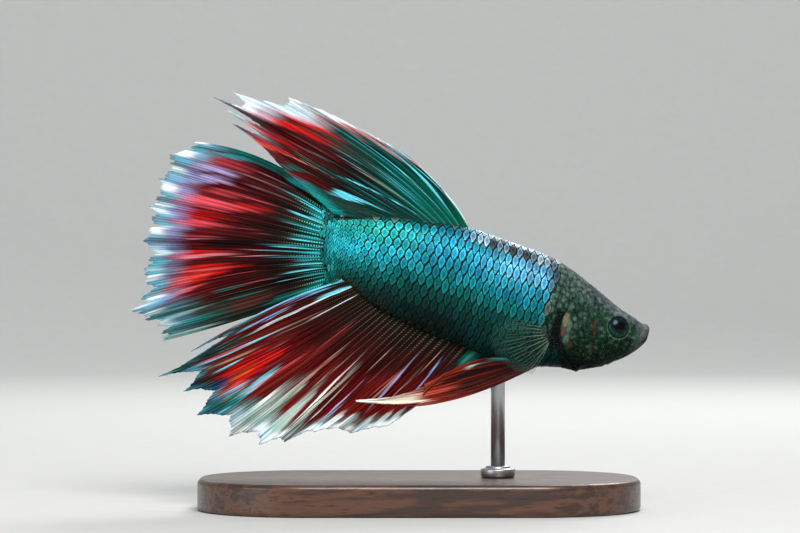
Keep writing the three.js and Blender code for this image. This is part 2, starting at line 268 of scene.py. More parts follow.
def stand_base():
    least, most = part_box("stand_base")
    bm = bmesh.new()
    bmesh.ops.create_cube(bm, size=1.0)
    bmesh.ops.scale(bm, vec=most - least, verts=bm.verts)
    bmesh.ops.translate(bm, vec=(most + least) / 2, verts=bm.verts)
    cut = {"affect": "EDGES", "profile": 0.5, "material": -1}
    upright = [e for e in bm.edges if abs(e.verts[0].co.z - e.verts[1].co.z) > MM]
    bmesh.ops.bevel(bm, geom=upright, offset=CORNER, segments=20, **cut)
    level = [e for e in bm.edges if abs(e.verts[0].co.z - e.verts[1].co.z) < 0.1 * MM]
    rims = [e for e in level if e.calc_face_angle(0.0) > 1.0]
    bmesh.ops.bevel(bm, geom=rims, offset=EASED_EDGE, segments=4, **cut)
    made = piece("stand_base_plate", bm, wood(), ["stand_base"])
    made.modifiers.new("corner_shading", "WEIGHTED_NORMAL")


stand_base()

# ---- Stand collar and rod -----------------------------------------------------------------------
# A turned collar and a thin round rod of brushed steel. The rod is pressed into the collar and its
# rounded top carries the fish under the belly.

COLLAR_FOOT = 0.25 * MM  # slant at the collar's foot
COLLAR_STEP = 0.35 * MM  # drop from the collar's top to its shoulder
COLLAR_TOP = 0.72  # share of the collar's radius at its top
ROD_SUNK = 0.75 * MM  # how far the rod's top goes into the belly


def steel():
    material, tree, shader = new_material("brushed_steel", Metallic=1.0)
    place = knot(tree, "TexCoord", out="Object")
    brushed = knot(tree, "Mapping", {"Vector": place, "Scale": (1.0, 1.0, 14.0)})
    lines = cloud(tree, brushed, 1.1 * MM, 4.0, 0.7)
    tone = mixed(tree, lines, rgba(150, 152, 155), rgba(198, 200, 202))
    feed(tree, shader, Base_Color=tone, Roughness=spread(tree, lines, 0.25, 0.75, 0.3, 0.46))
    feed(tree, shader, Normal=relief(tree, lines, 0.01 * MM, 0.4))
    return material


def turned(name, node, outline, material):
    """A piece turned on a lathe from an outline of (radius, height) points, over a CAD node."""
    least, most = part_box(node)
    middle = (least + most) / 2
    bm = bmesh.new()
    verts = [bm.verts.new((middle.x + radius, middle.y, height)) for radius, height in outline]
    edges = [bm.edges.new(pair) for pair in zip(verts, verts[1:])]
    centre = (middle.x, middle.y, 0)
    bmesh.ops.spin(
        bm, geom=verts + edges, cent=centre, axis=(0, 0, 1), angle=2 * math.pi, steps=64,
        use_merge=True,
    )
    bmesh.ops.remove_doubles(bm, verts=bm.verts, dist=1e-6)
    bmesh.ops.recalc_face_normals(bm, faces=bm.faces)
    piece(name, bm, material, [node])


def rounded(radius, height, ease, steps=5):
    """The outer corner of a turned piece as (radius, height) points, from its side to its top."""
    turns = [math.pi / 2 * step / steps for step in range(steps + 1)]
    corner = [(ease * (1 - math.cos(turn)), ease * (1 - math.sin(turn))) for turn in turns]
    return [(radius - inward, height - down) for inward, down in corner]


def stand_metal():
    metal = steel()
    least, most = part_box("stand_collar")
    radius = (most.x - least.x) / 2
    outline = [(0.0, least.z), (radius - COLLAR_FOOT, least.z), (radius, least.z + COLLAR_FOOT)]
    outline += rounded(radius, most.z - COLLAR_STEP, 0.2 * MM)
    outline += rounded(radius * COLLAR_TOP, most.z, 0.3 * MM) + [(0.0, most.z)]
    turned("stand_collar_ring", "stand_collar", outline, metal)
    least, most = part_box("stand_rod")
    radius = (most.x - least.x) / 2
    top = most.z + ROD_SUNK
    outline = [(0.0, least.z), (radius, least.z), *rounded(radius, top, 0.5 * MM), (0.0, top)]
    turned("stand_rod_upright", "stand_rod", outline, metal)


stand_metal()

# ---- Skin ---------------------------------------------------------------------------------------
# One skin over the whole body, head and jaw: cast in resin from the specimen and painted by hand.
# It is smooth and dark under the scales; on the head it carries the lips, nostrils, eye rims,
# cheek folds and the edge of the gill cover, with the black gill skin behind.

SNOUT = 40.94
TAIL_ROOT = -1.2
PITCH = math.radians(14.7)
EYE_AT = Vector((37.15, 1.75, -0.45))
# Height of the back, height of the belly and half the width, by distance from the tail's end.
BACK = [
    (-1.2, 2.2), (-0.9, 3.1), (-0.3, 3.9), (0.3, 4.15), (1.8, 4.75), (6.7, 5.85), (11.8, 6.6),
    (16, 7.0), (20, 6.65), (25, 6.25), (28.5, 5.5), (32.2, 4.0), (36.6, 1.95), (38.6, 1.3),
    (39.4, 0.95), (39.8, 0.82), (40.35, 0.86), (40.8, 0.52), (41.1, 0.03),
]
BELLY = [
    (-1.2, -1.9), (-0.9, -2.6), (-0.3, -3.25), (0.3, -3.45), (1.5, -3.75), (4.4, -5.15),
    (8, -6.3), (13, -7.2), (18.5, -7.9), (23, -8.45), (26.5, -8.45), (29.5, -7.6), (33, -7.0),
    (36, -5.9), (38.2, -4.4), (39.8, -2.9), (40.8, -1.4), (41.1, -0.3),
]
HALF_WIDTH = [
    (-1.2, 0.16), (0.3, 0.55), (4, 1.5), (9, 2.6), (15, 3.5), (21, 3.95), (26.5, 4.15), (31, 4.05),
    (34.5, 3.45), (37.5, 2.6), (39.5, 1.7), (40.6, 0.95), (41.1, 0.3),
]
NECK = [  # where the scales end and the head begins, by height
    (-10, 33.4), (-6.6, 31.9), (-4.5, 29.8), (-1.5, 28.8), (3, 28.9), (9, 29.4),
]
WIDEST_AT = 0.52  # share of the height at which the body is widest
ROUNDNESS = 0.9  # 1 is an oval section, less is fuller
ROOT_SLANT = 0.27  # how far the tail's end leans
SLANT_FADES_BY = 8
COAT_DEPTH = 0.17  # the scales' depth over the skin
HEAD_DEPTH = 0.03
SKIN_ALONG = 340
SKIN_AROUND = 240

# The fish stands in a frame of its own, tipped nose down; its place is read from the eye nodes.
tip = Matrix.Rotation(PITCH, 3, "Y")
eye_corners = [*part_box("eye_right"), *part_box("eye_left")]
eye_middle = sum(eye_corners, Vector()) / len(eye_corners)
fish_origin = eye_middle - tip @ Vector((EYE_AT.x, 0, EYE_AT.z)) * MM
TO_MODEL = Matrix.Translation(fish_origin) @ tip.to_4x4() @ Matrix.Scale(MM, 4)


def through(points, x):
    """A smooth line through (x, value) points, read at x."""
    last = len(points) - 1
    if x <= points[0][0]:
        return points[0][1]
    if x >= points[last][0]:
        return points[last][1]
    i = 0
    while points[i + 1][0] < x:
        i += 1

    def tangent(k):
        a, b = points[max(k - 1, 0)], points[min(k + 1, last)]
        return (b[1] - a[1]) / (b[0] - a[0])

    (x0, y0), (x1, y1) = points[i], points[i + 1]
    span = x1 - x0
    t = (x - x0) / span
    early, late = (1 - t) ** 2, t * t
    ends = (1 + 2 * t) * early * y0 + late * (3 - 2 * t) * y1
    return ends + t * early * span * tangent(i) + late * (t - 1) * span * tangent(i + 1)


def eased(value, start, end):
    """0 before start, 1 after end and smooth between; start may be the greater."""
    t = min(max((value - start) / (end - start), 0.0), 1.0)
    return t * t * (3 - 2 * t)


def swell(distance, width):
    return math.exp(-((distance / width) ** 2))


@functools.lru_cache(maxsize=None)
def section(x):
    return through(BACK, x), through(BELLY, x), through(HALF_WIDTH, x)


def flesh_point(x, angle, grow, outline=section):
    """A point of the body, by its distance from the tail and its angle round from the back."""
    back, belly, half = outline(x)
    back, belly = back + grow, belly - grow
    middle = belly + WIDEST_AT * (back - belly)
    side, up = math.sin(angle), math.cos(angle)
    reach = back - middle if up > 0 else middle - belly
    y = (half + grow) * math.copysign(abs(side) ** ROUNDNESS, side)
    z = middle + reach * up
    fade = max(0.0, 1 - x / SLANT_FADES_BY)
    return Vector((x - ROOT_SLANT * z * fade, y, z))


def from_line(points, x, z):
    """How far a place on the side of the fish is from a line of points."""
    best = 1e9
    for (x0, z0), (x1, z1) in zip(points, points[1:]):
        along = ((x - x0) * (x1 - x0) + (z - z0) * (z1 - z0)) / ((x1 - x0) ** 2 + (z1 - z0) ** 2)
        along = min(max(along, 0.0), 1.0)
        best = min(best, math.hypot(x - x0 - along * (x1 - x0), z - z0 - along * (z1 - z0)))
    return best


GILL_COVER = {"x": 32.3, "z": -2.8, "wide": 2.3, "tall": 3.8, "lean": 0.32}
GILL_RIM = 0.4  # how far the cover's edge counts as reaching past its oval
MOUTH = [(41.2, 0.0), (40.98, -0.42), (40.72, -0.95), (40.3, -1.55)]
LIP_FOLD = [(40.35, 0.55), (40.15, -0.1), (39.9, -0.8), (39.75, -1.5)]
CHEEK_FOLD = [(33.3, 1.1), (33.6, -0.4), (33.95, -2.4), (34.3, -4.0), (35.2, -5.0), (36.6, -5.5)]
OPERCLE_FOLD = [(30.8, 0.15), (31.64, -0.72), (32.25, -1.2), (32.6, -2.1)]
EYE_FOLD = [(35.3, -1.6), (36.1, -2.5), (37.4, -2.75), (38.8, -2.3), (39.8, -1.7)]
THROAT_FOLDS = [
    [(34.2, -6.2), (35.8, -5.75), (37.6, -4.75), (38.9, -3.3)],
    [(34.9, -5.6), (36.4, -5.2), (37.9, -4.1)],
]
CREASES = [  # line, depth, width
    (CHEEK_FOLD, 0.10, 0.13),
    (EYE_FOLD, 0.05, 0.12),
    (OPERCLE_FOLD, 0.08, 0.11),
    *[(fold, 0.07, 0.12) for fold in THROAT_FOLDS],
    (LIP_FOLD, 0.06, 0.1),
]
LIP_KNOB = (40.45, 0.3)
NOSTRIL = (38.85, 0.15)
BEARD = {"x": 33.25, "long": 0.5, "wide": 0.62}
EYE_RIM = 1.45  # radius of the opening for the eye
NAPE_CELL = 0.86  # the small scales sunk in the skin of the head


def gill_edge(x, z):
    """Distance outside the gill cover's edge, and 1 at its rear falling to 0 at its front."""
    turn = GILL_COVER["lean"]
    dx, dz = x - GILL_COVER["x"], z - GILL_COVER["z"]
    across = math.cos(turn) * dx + math.sin(turn) * dz
    up = math.cos(turn) * dz - math.sin(turn) * dx
    ring = math.hypot(across / GILL_COVER["wide"], up / GILL_COVER["tall"])
    return (ring - 1) * (GILL_COVER["wide"] + GILL_RIM), eased(across, 1.3, -0.5)


def nape_border(point):
    """Distance to the nearest border of the small scales in the skin of the head, in scales."""
    place = Vector((1.3 * point.x, point.y, 0.9 * point.z)) / NAPE_CELL
    near = noise.voronoi(place)[0]
    return near[1] - near[0]


def skin_relief(point):
    """How far the skin stands out at a place on the head, in mm."""
    x, z = point.x, point.z
    outside, rear = gill_edge(x, z)
    out = rear * (0.14 * swell(outside + 0.28, 0.34) - 0.24 * swell(outside - 0.16, 0.16))
    out += 0.05 * swell(from_line(CHEEK_FOLD, x, z) - 0.4, 0.25)
    for line, depth, width in CREASES:
        out -= depth * swell(from_line(line, x, z), width)
    mouth = from_line(MOUTH, x, z)
    out += 0.07 * swell(mouth - 0.2, 0.13) - 0.15 * swell(mouth, 0.06)
    out += 0.14 * swell(math.hypot(x - LIP_KNOB[0], z - LIP_KNOB[1]), 0.38)
    pit = math.hypot(x - NOSTRIL[0], z - NOSTRIL[1])
    out += 0.05 * swell(pit - 0.26, 0.1) - 0.2 * swell(pit, 0.14)
    on_nape = eased(x, 28.6, 29.6) * eased(x, 36.5, 33.0)
    out += on_nape * (0.05 * eased(nape_border(point), 0.0, 0.35) - 0.04)
    out += 0.018 * eased(x, 29, 30) * noise.noise(point / 0.32)
    return min(out, out * eased(x, 41.0, 40.4)) * eased(x, 28.2, 29.2)


def beard(point):
    """The pointed fold of gill skin that hangs under the throat."""
    _, belly, _ = section(point.x)
    lowness = eased(point.z, belly + 1.1, belly)
    return BEARD["long"] * math.exp(-abs(point.x - BEARD["x"]) / BEARD["wide"]) * lowness


class EyeSeat:
    """Where an eye sits: the middle of its rim on the flesh and the way it looks."""

    def __init__(self, side):
        x, z = EYE_AT.x - 0.28, EYE_AT.z
        back, belly, half = section(x)
        middle = belly + WIDEST_AT * (back - belly)
        up = (z - middle) / (back - middle)
        y = half * (1 - up * up) ** (ROUNDNESS / 2)
        self.middle = Vector((x, side * (y - 0.02), z))
        self.look = Vector((0.24, side, 0.16)).normalized()

    def of(self, point):
        """A point's distance from the eye's axis and its height over the rim."""
        away = point - self.middle
        height = away.dot(self.look)
        return (away - height * self.look).length, height


SEATS = {"right": EyeSeat(-1), "left": EyeSeat(1)}
SOCKET = [  # height of the skin over the rim's plane, by distance from the eye's axis
    (0.0, -0.75), (1.05, -0.6), (1.3, -0.34), (1.38, -0.08), (1.44, 0.06), (1.52, 0.10),
    (1.60, 0.05), (1.72, -0.04), (2.1, -0.02),
]
SOCKET_REACH = 2.1


def seat_beside(point):
    return SEATS["right"] if point.y < 0 else SEATS["left"]


def seated(point):
    """A skin point drawn down into the eye's socket and up over its rim."""
    seat = seat_beside(point)
    radius, height = seat.of(point)
    if radius > SOCKET_REACH or abs(point.y) < 0.8:
        return point
    wanted = through(SOCKET, radius)
    share = eased(radius, SOCKET_REACH, 1.6)
    return point + seat.look * (wanted - height) * share


def blot(x, z, at, size, edge=0.45):
    """How fully a soft-edged oval spot covers a place."""
    away = math.hypot((x - at[0]) / size[0], (z - at[1]) / size[1])
    return eased(away, 1 + edge, 1 - edge)


def over(under, colour, share):
    return [a + (b - a) * share for a, b in zip(under, colour)]


HEAD_SPOTS = [  # screen colour, place, size, strength
    ((116, 116, 92), (30.15, -1.25), (0.42, 0.8), 0.9),
    ((112, 64, 56), (30.15, -2.7), (0.26, 0.5), 0.8),
    ((84, 108, 90), (30.75, -2.0), (0.3, 0.75), 0.7),
    ((84, 104, 92), (30.75, -3.5), (0.38, 0.6), 0.8),
    ((62, 52, 36), (31.3, -4.1), (0.4, 0.55), 0.7),
    ((96, 42, 32), (33.75, -1.0), (0.2, 0.7), 0.75),
    ((92, 44, 36), (34.0, -2.1), (0.16, 0.5), 0.5),
    ((80, 62, 50), (34.15, -4.0), (0.22, 0.6), 0.4),
    ((94, 82, 86), (40.2, -0.45), (0.35, 0.75), 0.45),
    ((112, 104, 118), (40.6, 0.4), (0.5, 0.4), 0.5),
]
# Lines painted along the head: the dark ones, on the gill cover's fold, the mouth and the cheek's
# fold, are painted shade in these creases; the pale one marks the lip.
HEAD_LINES = [  # screen colour, line, width, strength
    ((6, 14, 10), OPERCLE_FOLD, 0.13, 0.7),
    ((126, 124, 132), LIP_FOLD[:3], 0.08, 0.5),
    ((8, 10, 10), MOUTH, 0.12, 0.8),
    ((10, 14, 13), CHEEK_FOLD, 0.16, 0.45),
]
EYE_RING = 1.5  # radius of the pale ring on the eye rim's crest, partly a painted highlight


def skin_colour(point):
    """The painted colour of the skin at a place, linear."""
    x, z = point.x, point.z
    back, belly, _ = section(x)
    low_share = (z - belly) / (back - belly)
    grain = noise.noise(point / 0.5)
    fine = noise.noise(point / 0.17 + Vector((7, 3, 1)))
    # The head is painted darker towards the throat and paler grey on top: partly its own colour,
    # partly painted shade below and a painted highlight on top.
    cheek = over(linear(0, 20, 7), linear(28, 62, 48), eased(low_share + 0.12 * grain, 0.25, 0.8))
    head = over(cheek, linear(84, 94, 100), eased(low_share + 0.15 * grain, 0.72, 0.98))
    lumps = eased(grain + 0.8 * fine, 0.1, 0.7) * (0.15 + 0.85 * low_share)
    head = over(head, linear(100, 136, 112), 0.66 * lumps)
    head = over(head, linear(10, 14, 14), 0.85 * eased(fine - 0.4 * grain, 0.0, 0.5))
    # Paler grey towards the snout, partly a painted highlight.
    head = over(head, linear(84, 92, 94), 0.5 * eased(x, 38.6, 40.2))
    neck = through(NECK, z)
    cell = nape_border(point)
    scaly = eased(x, 36.5, 33.0) * eased(low_share, 0.3, 0.5)
    # The nape's small scales get pale middles: painted highlights where they stand up.
    lit = scaly * eased(x, neck + 5.5, neck + 1.5)
    head = over(head, linear(96, 122, 112), 0.42 * lit * eased(cell + 0.4 * fine, 0.1, 0.5))
    head = over(head, linear(4, 9, 8), (0.6 + 0.5 * fine) * scaly * eased(cell, 0.22, 0.03))
    ragged = 0.75 + 0.5 * noise.noise(point / 0.3)
    for colour, at, size, strength in HEAD_SPOTS:
        share = strength * blot(x, z, at, size) * ragged * 1.3
        head = over(head, linear(*colour), min(1.0, share))
    # The dark lines are painted shade in the head's creases; the pale one marks the lip.
    for colour, line, width, strength in HEAD_LINES:
        head = over(head, linear(*colour), strength * swell(from_line(line, x, z), width))
    # The nostril's pit is painted nearly black, as painted shade.
    pit = math.hypot(x - NOSTRIL[0], z - NOSTRIL[1])
    head = over(head, linear(6, 7, 8), swell(pit, 0.15))
    # The pale ring on the eye rim's crest is partly a painted highlight.
    ring = abs(seat_beside(point).of(point)[0] - EYE_RING)
    head = over(head, linear(112, 128, 112), (0.35 + 0.7 * fine) * swell(ring, 0.06))
    outside, rear = gill_edge(x, z)
    lowest = eased(low_share, 0.17, 0.1) * eased(x, 36.0, 34.6)
    behind = eased(outside, 0.02, 0.16) * rear * eased(z, 0.35, -0.5)
    gill_black = max(behind, lowest) * eased(x, 28.4, 28.9)
    head = over(head, linear(5, 7, 9), gill_black)
    trunk = over(linear(4, 24, 28), linear(22, 26, 22), eased(low_share, 0.86, 0.96))
    trunk = over(linear(8, 20, 16), trunk, eased(low_share, 0.02, 0.2))
    return over(trunk, head, eased(x, neck - 1.7, neck - 1.0))


def speckle_group():
    """Fine speckles and pits, shared by the skin and the scales: pigment cells on the skin,
    painted glints on the scales.
    """
    tree = bpy.data.node_groups.new("speckle_and_painted_glint", "ShaderNodeTree")
    sockets = {
        "INPUT": {"Colour": "Color", "Speck": "Color", "Size": "Float", "Amount": "Float"},
        "OUTPUT": {"Colour": "Color", "Height": "Float"},
    }
    for way, kinds in sockets.items():
        for name, kind in kinds.items():
            tree.interface.new_socket(name, in_out=way, socket_type="NodeSocket" + kind)
    given = tree.nodes.new("NodeGroupInput")
    result = tree.nodes.new("NodeGroupOutput")
    place = knot(tree, "TexCoord", out="Object")
    scale = sums(tree, "DIVIDE", 1.0, given.outputs["Size"])
    cells = knot(tree, "TexVoronoi", {"Vector": place, "Scale": scale}, "Distance")
    patches = knot(tree, "TexNoise", {"Vector": place, "Scale": scale, "Detail": 3.0}, "Fac")
    dots = spread(tree, cells, 0.42, 0.12)
    dots = sums(tree, "MULTIPLY", dots, spread(tree, patches, 0.42, 0.62))
    strength = sums(tree, "MULTIPLY", dots, given.outputs["Amount"])
    colour = mixed(tree, strength, given.outputs["Colour"], given.outputs["Speck"])
    height = sums(tree, "ADD", dots, patches)
    tree.links.new(colour, result.inputs["Colour"])
    tree.links.new(height, result.inputs["Height"])
    return tree


SPECKLE = speckle_group()


def speckled(tree, colour, speck, size, amount):
    """The speckle group placed in a material; gives its colour and its height."""
    made = tree.nodes.new("ShaderNodeGroup")
    made.node_tree = SPECKLE
    if isinstance(speck, bpy.types.NodeSocket):
        tree.links.new(speck, made.inputs["Speck"])
    else:
        made.inputs["Speck"].default_value = speck
    made.inputs["Size"].default_value = size
    made.inputs["Amount"].default_value = amount
    tree.links.new(colour, made.inputs["Colour"])
    return made.outputs["Colour"], made.outputs["Height"]


def skin_material():
    material, tree, shader = new_material("painted_skin", Specular_IOR_Level=0.04)
    paint = own(tree, "Paint", "Color")
    colour, height = speckled(tree, paint, rgba(112, 152, 124), 0.15 * MM, 0.34)
    place = knot(tree, "TexCoord", out="Object")
    dark = cloud(tree, place, 0.25 * MM, 4.0, 0.65)
    colour = mixed(tree, spread(tree, dark, 0.5, 0.72, 0.0, 0.7), colour, rgba(6, 12, 10))
    rough = spread(tree, dark, 0.3, 0.7, 0.38, 0.62)
    feed(tree, shader, Base_Color=colour, Roughness=rough)
    both = sums(tree, "ADD", height, dark)
    feed(tree, shader, Normal=relief(tree, both, 0.035 * MM, 0.8))
    return material


def model_space(bm):
    bmesh.ops.transform(bm, matrix=TO_MODEL, verts=bm.verts)


def paint_layer(bm, name):
    return bm.verts.layers.float_color.get(name) or bm.verts.layers.float_color.new(name)


def skin():
    bm = bmesh.new()
    bmesh.ops.create_uvsphere(bm, u_segments=SKIN_AROUND, v_segments=SKIN_ALONG, radius=1)
    for vert in bm.verts:
        height = min(max(vert.co.z, -1.0), 1.0)
        share = round(math.acos(-height) / math.pi * SKIN_ALONG) / SKIN_ALONG
        x = TAIL_ROOT + (SNOUT - TAIL_ROOT) * (0.6 * share * share * (3 - 2 * share) + 0.4 * share)
        angle = math.atan2(vert.co.y, vert.co.x)
        neck = through(NECK, flesh_point(x, angle, 0).z)
        depth = COAT_DEPTH + (HEAD_DEPTH - COAT_DEPTH) * eased(x, neck - 1.7, neck - 0.7)
        if share in (0.0, 1.0):
            back, belly, _ = section(x)
            vert.co = (x, 0, (back + belly) / 2)
        else:
            vert.co = flesh_point(x, angle, -depth)
    bmesh.ops.reverse_faces(bm, faces=bm.faces)  # laid along the body, the sphere is mirrored
    bm.normal_update()
    paint = paint_layer(bm, "Paint")
    normals = [vert.normal.copy() for vert in bm.verts]
    for vert, normal in zip(bm.verts, normals):
        out = skin_relief(vert.co)
        colour = skin_colour(vert.co)
        moved = vert.co + normal * out
        moved.z -= beard(vert.co)
        vert.co = seated(moved) if vert.co.x > 33 else moved
        vert[paint] = (*colour, 1.0)
    model_space(bm)
    nodes = ["head", "lower_jaw", "gill_cover_right", "gill_cover_left", "gill_skin"]
    nodes += ["trunk_front", "trunk_rear", "tail_stalk"]
    piece("skin", bm, skin_material(), nodes)


skin()

# ---- Eyes ---------------------------------------------------------------------------------------
# Domes of polished resin set into the sockets: a black pupil, a dark blue-green iris that glitters,
# and a pale ring where the eye meets the rim. Each is one piece, pushed in from outside.

EYE_DOME = 0.5  # how far the dome stands over the rim
EYE_DEEP = 0.34  # how far its widest ring lies below the rim
EYE_BACK = 0.6  # depth of the rounded back, in the socket
PUPIL = 0.74


def eye_material():
    polish = {"Coat_Weight": 0.08, "Coat_Roughness": 0.06}
    material, tree, shader = new_material(
        "polished_eye", Roughness=0.2, Specular_IOR_Level=0.12, **polish
    )
    ring = own(tree, "Ring")
    glow = own(tree, "Lower")
    place = knot(tree, "TexCoord", out="Object")
    fibres = cloud(tree, place, 0.16 * MM, 4.0, 0.7)
    iris = mixed(tree, spread(tree, glow, 0.0, 1.0), rgba(16, 28, 40), rgba(0, 50, 36))
    iris = mixed(tree, spread(tree, fibres, 0.54, 0.68, 0.0, 0.8), iris, rgba(64, 116, 112))
    iris = mixed(tree, spread(tree, fibres, 0.48, 0.3, 0.0, 0.8), iris, rgba(4, 8, 12))
    edge = spread(tree, ring, PUPIL - 0.14, PUPIL + 0.3)
    colour = mixed(tree, edge, rgba(2, 3, 5), iris)
    colour = mixed(tree, spread(tree, ring, 1.16, 1.3), colour, rgba(30, 44, 44))
    feed(tree, shader, Base_Color=colour)
    metal = sums(tree, "MULTIPLY", spread(tree, ring, PUPIL, PUPIL + 0.1), 0.55)
    feed(tree, shader, Metallic=metal)
    return material


def eye(name, material):
    seat = SEATS[name]
    bm = bmesh.new()
    bmesh.ops.create_uvsphere(bm, u_segments=64, v_segments=48, radius=1)
    ring = bm.verts.layers.float.new("Ring")
    lower = bm.verts.layers.float.new("Lower")
    turn = seat.look.to_track_quat("Z", "X").to_matrix()
    for vert in bm.verts:
        across = Vector((vert.co.x, vert.co.y, 0)) * EYE_RIM
        deep = (EYE_DOME + EYE_DEEP) * vert.co.z if vert.co.z > 0 else EYE_BACK * vert.co.z
        around = turn @ across
        vert[ring] = across.length if vert.co.z > 0 else EYE_RIM
        vert[lower] = min(max(0.5 - around.z / (1.4 * EYE_RIM), 0.0), 1.0)
        vert.co = seat.middle + around + seat.look * (deep - EYE_DEEP)
    model_space(bm)
    piece("eyeball_" + name, bm, material, ["eye_" + name])


shiny = eye_material()
for side_name in ("right", "left"):
    eye(side_name, shiny)

# ---- Scales -------------------------------------------------------------------------------------
# Thin overlapping plates in rows along each flank, cast and laid one by one from the tail forward,
# so that each plate's free edge points to the tail. Turquoise foil colour with a dark edge, a
# painted highlight inside it and painted glints; the dark green low down is partly painted shade.

ROWS = 12  # rows of scales from the back to the belly, on each side
ROW_STEP = 0.62  # how far each row stands forward of the one above, in scales
PITCHES = [  # distance between the scales of a row, by distance from the tail's end
    (-4.0, 0.3), (-1.3, 0.42), (0.5, 0.62), (4.4, 0.98), (11.5, 1.05), (15, 0.97),
    (18.3, 0.87), (23.3, 0.92), (31, 0.95),
]
PLATE = {"around": 16, "through": 6, "thick": 0.026, "longer": 0.98}
TILT = 0.14  # rise of a plate towards its free edge
ARC_STEPS = 48
COAT_LEAVES_BODY = 0.3  # behind this the scales lie on the root of the tail fin
COAT_END = -2.5  # the farthest a row runs out on the tail fin
COAT_FRONT = 31.0
FACE = {"long": 0.47, "tall": 0.71, "at": 1.52}  # what its neighbours leave bare of a plate


@functools.lru_cache(maxsize=None)
def coat_section(x):
    """The outline that the scales follow: the body's, and behind it the fan of the tail's root."""
    back, belly, half = section(max(x, COAT_LEAVES_BODY))
    run = max(COAT_LEAVES_BODY - x, 0.0)
    return back + 0.5 * run, belly - 0.55 * run, half - 0.2 * eased(run, 0.0, 2.0)


@functools.lru_cache(maxsize=None)
def girth(station):
    """Share of the way from back to belly reached at each of ARC_STEPS even angles."""
    turns = [math.pi * i / ARC_STEPS for i in range(ARC_STEPS + 1)]
    points = [flesh_point(station, turn, 0.0, coat_section) for turn in turns]
    lengths = [0.0]
    for a, b in zip(points, points[1:]):
        lengths.append(lengths[-1] + math.hypot(b.y - a.y, b.z - a.z))
    return [length / lengths[-1] for length in lengths], lengths[-1]


def girth_at(x):
    """The girth at the nearest of the half-millimetre stations."""
    return girth(round(min(max(x, COAT_END - 1), 40.0) * 2) / 2)


def girth_angle(x, share):
    """The angle round from the back at a share of the girth; a share under 0 crosses the back."""
    shares, _ = girth_at(x)
    if share < 0:
        return -girth_angle(x, -share)
    if share > 1:
        return 2 * math.pi - girth_angle(x, 2 - share)
    step = next(i for i in range(1, len(shares)) if shares[i] >= share)
    part = (share - shares[step - 1]) / (shares[step] - shares[step - 1])
    return math.pi * (step - 1 + part) / ARC_STEPS


# Below this line along the flank the bright scales turn to dark green: partly their own colour,
# partly painted shade under the light from above.
SHADE_LINE = [(0, -1.3), (5, -1.1), (13, -0.25), (22, -1.5), (31, -1.5)]


def scale_colour(x, z, draw):
    """The painted colour of a scale by its place on the flank; its changes with height are partly
    painted light and shade.
    """
    back, belly, _ = section(x)
    # Brighter paint low on the rear flank is painted light where the flank turns from the lamps;
    # the darker greens below the shade line are partly painted shade.
    rear = over(linear(0, 160, 152), linear(0, 188, 204), eased(z, 3.4, 0.6))
    bright = over(rear, linear(2, 136, 160), eased(x, 6, 14))
    bright = over(bright, linear(84, 152, 184), eased(x, 17, 25) * eased(z, 0.6, 3.6))
    turn_at = through(SHADE_LINE, x)
    colour = over(linear(0, 116, 112), bright, eased(z, turn_at - 0.5, turn_at + 2.4))
    colour = over(linear(0, 62, 54), colour, eased(z, turn_at - 2.4, turn_at))
    deepest = over(linear(4, 34, 28), linear(6, 56, 50), eased(x, 15, 21))
    colour = over(deepest, colour, eased(z, turn_at - 4.8, turn_at - 2.2))
    greys = [(146, 168, 194), (112, 132, 146), (176, 194, 212), (62, 70, 66)]
    top = eased(z, back - 1.9, back - 0.8) * eased(x, 14, 19)
    colour = over(colour, linear(*draw.choice(greys)), top)
    browns = [(20, 78, 70), (44, 56, 46), (96, 104, 92), (26, 96, 90)]
    under_fin = eased(z, back - 0.6, back - 0.2) * eased(x, 16.5, 14.5)
    colour = over(colour, linear(*draw.choice(browns)), 0.85 * under_fin)
    olives = [(30, 48, 38), (52, 44, 30), (14, 62, 52)]
    over_anal = eased(z, belly + 1.4, belly + 0.3) * eased(x, 24, 20) * eased(x, -0.5, 1.5)
    colour = over(colour, linear(*draw.choice(olives)), 0.8 * over_anal)
    sparks = [(0, 150, 140), (20, 190, 182), (0, 124, 114), (0, 100, 92)]
    colour = over(colour, linear(*draw.choice(sparks)), 0.7 * eased(x, 0.6, -1.6))
    neck = through(NECK, z)
    nape = eased(x, neck - 1.5, neck - 0.6) * eased(z, -5.2, -3.8)
    greyed = linear(88, 108, 96) if draw.random() > 0.35 else linear(56, 66, 60)
    colour = over(colour, greyed, nape)
    gain = 0.66 + 0.48 * draw.random()
    tint = draw.uniform(-0.09, 0.09)
    return [colour[0] * gain * (1 - tint), colour[1] * gain, colour[2] * gain * (1 + tint)]


